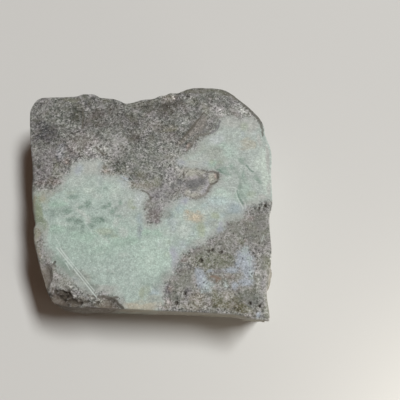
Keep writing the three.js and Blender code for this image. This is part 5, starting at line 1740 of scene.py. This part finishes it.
FLOOR_SIDE = 3000.0
FLOOR_COLOUR = (203, 204, 201)
FLOOR_CLOUD_SCALE = 4.0
FLOOR_CLOUD_STOPS = 0.06
FLOOR_ROUGHNESS = 0.85
FLOOR_SHINE = 0.25
KEY_WAY = (0.575, 0.25, 1.0)     # from the slab towards the key light
KEY_DISTANCE = 4000.0
KEY_SIZE = (1650.0, 680.0)
KEY_WATTS = 168.0
SKY_COLOUR = (1.0, 0.64, 0.46)
SKY_STRENGTH = 0.1
FILL_PLACE = (120.0, -105.0, 26.0)
FILL_SIZE = (70.0, 30.0)
FILL_WATTS = 0.06
FILL_COLOUR = (1.0, 0.93, 0.82)
BACKDROP_COLOUR = (0.6, 0.6, 0.57)
CAMERA_PLACE = (17.155 - RIM_MIDDLE[0], -44.833 - RIM_MIDDLE[1], 136.0)
CAMERA_TILT = 20.05        # degrees from straight down
CAMERA_LENS = 36.0
CAMERA_SENSOR = 36.0
CAMERA_NEAR = 10.0


def make_floor():
    """A wide square under the slab, with a pale, lightly clouded finish."""
    half = FLOOR_SIDE / 2
    corners = [(-half, -half, 0), (half, -half, 0), (half, half, 0), (-half, half, 0)]
    floor = new_mesh_object("floor", corners, [(0, 1, 2, 3)])
    material = bpy.data.materials.new("Pale floor")
    material.use_nodes = True
    tree = material.node_tree
    principled = tree.nodes["Principled BSDF"]
    place = put(tree, "ShaderNodeTexCoord").outputs["Object"]
    cloud = about_none(tree, noise(tree, place, FLOOR_CLOUD_SCALE), FLOOR_CLOUD_STOPS)
    colour = lighter(tree, rgba(FLOOR_COLOUR)[:3], cloud)
    tree.links.new(colour, principled.inputs["Base Color"])
    principled.inputs["Roughness"].default_value = FLOOR_ROUGHNESS
    principled.inputs["Specular IOR Level"].default_value = FLOOR_SHINE
    floor.data.materials.append(material)


def make_lamp(name, place, size, watts, colour=(1.0, 1.0, 1.0)):
    """A soft rectangle of light that faces the slab."""
    light = bpy.data.lights.new(name, "AREA")
    light.shape = "RECTANGLE"
    light.size, light.size_y = (side * MM for side in size)
    light.energy = watts
    light.color = colour
    lamp = bpy.data.objects.new(name, light)
    bpy.context.scene.collection.objects.link(lamp)
    lamp.location = Vector(place) * MM
    lamp.rotation_euler = lamp.location.to_track_quat("Z", "Y").to_euler()


def make_light():
    """One wide soft light high on the right, a weak low one in front, and a faint warm fill from all
    round, behind which the camera sees a pale backdrop."""
    make_lamp("key light", Vector(KEY_WAY).normalized() * KEY_DISTANCE, KEY_SIZE, KEY_WATTS)
    make_lamp("front fill", FILL_PLACE, FILL_SIZE, FILL_WATTS, FILL_COLOUR)

    world = bpy.data.worlds.new("soft fill")
    world.use_nodes = True
    tree = world.node_tree
    fill = tree.nodes["Background"].inputs
    seen = put(tree, "ShaderNodeLightPath").outputs["Is Camera Ray"]
    tree.links.new(blend(tree, seen, (*SKY_COLOUR, 1.0), (*BACKDROP_COLOUR, 1.0)), fill["Color"])
    tree.links.new(mix_value(tree, seen, SKY_STRENGTH, 1.0), fill["Strength"])
    bpy.context.scene.world = world


def make_camera():
    """The camera, above the slab's near edge and tilted a little towards its far side."""
    data = bpy.data.cameras.new("camera")
    data.lens = CAMERA_LENS
    data.sensor_width = CAMERA_SENSOR
    data.clip_start = CAMERA_NEAR * MM
    camera = bpy.data.objects.new("camera", data)
    camera.location = Vector(CAMERA_PLACE) * MM
    camera.rotation_euler = (math.radians(CAMERA_TILT), 0.0, 0.0)
    bpy.context.scene.collection.objects.link(camera)
    bpy.context.scene.camera = camera


bpy.context.scene.view_settings.view_transform = "Standard"

stone, stone_shift = make_slab()
stone.data.materials.append(make_stone_material(stone_shift))
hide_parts(NODE)
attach(stone, "root")

make_floor()
make_light()
make_camera()
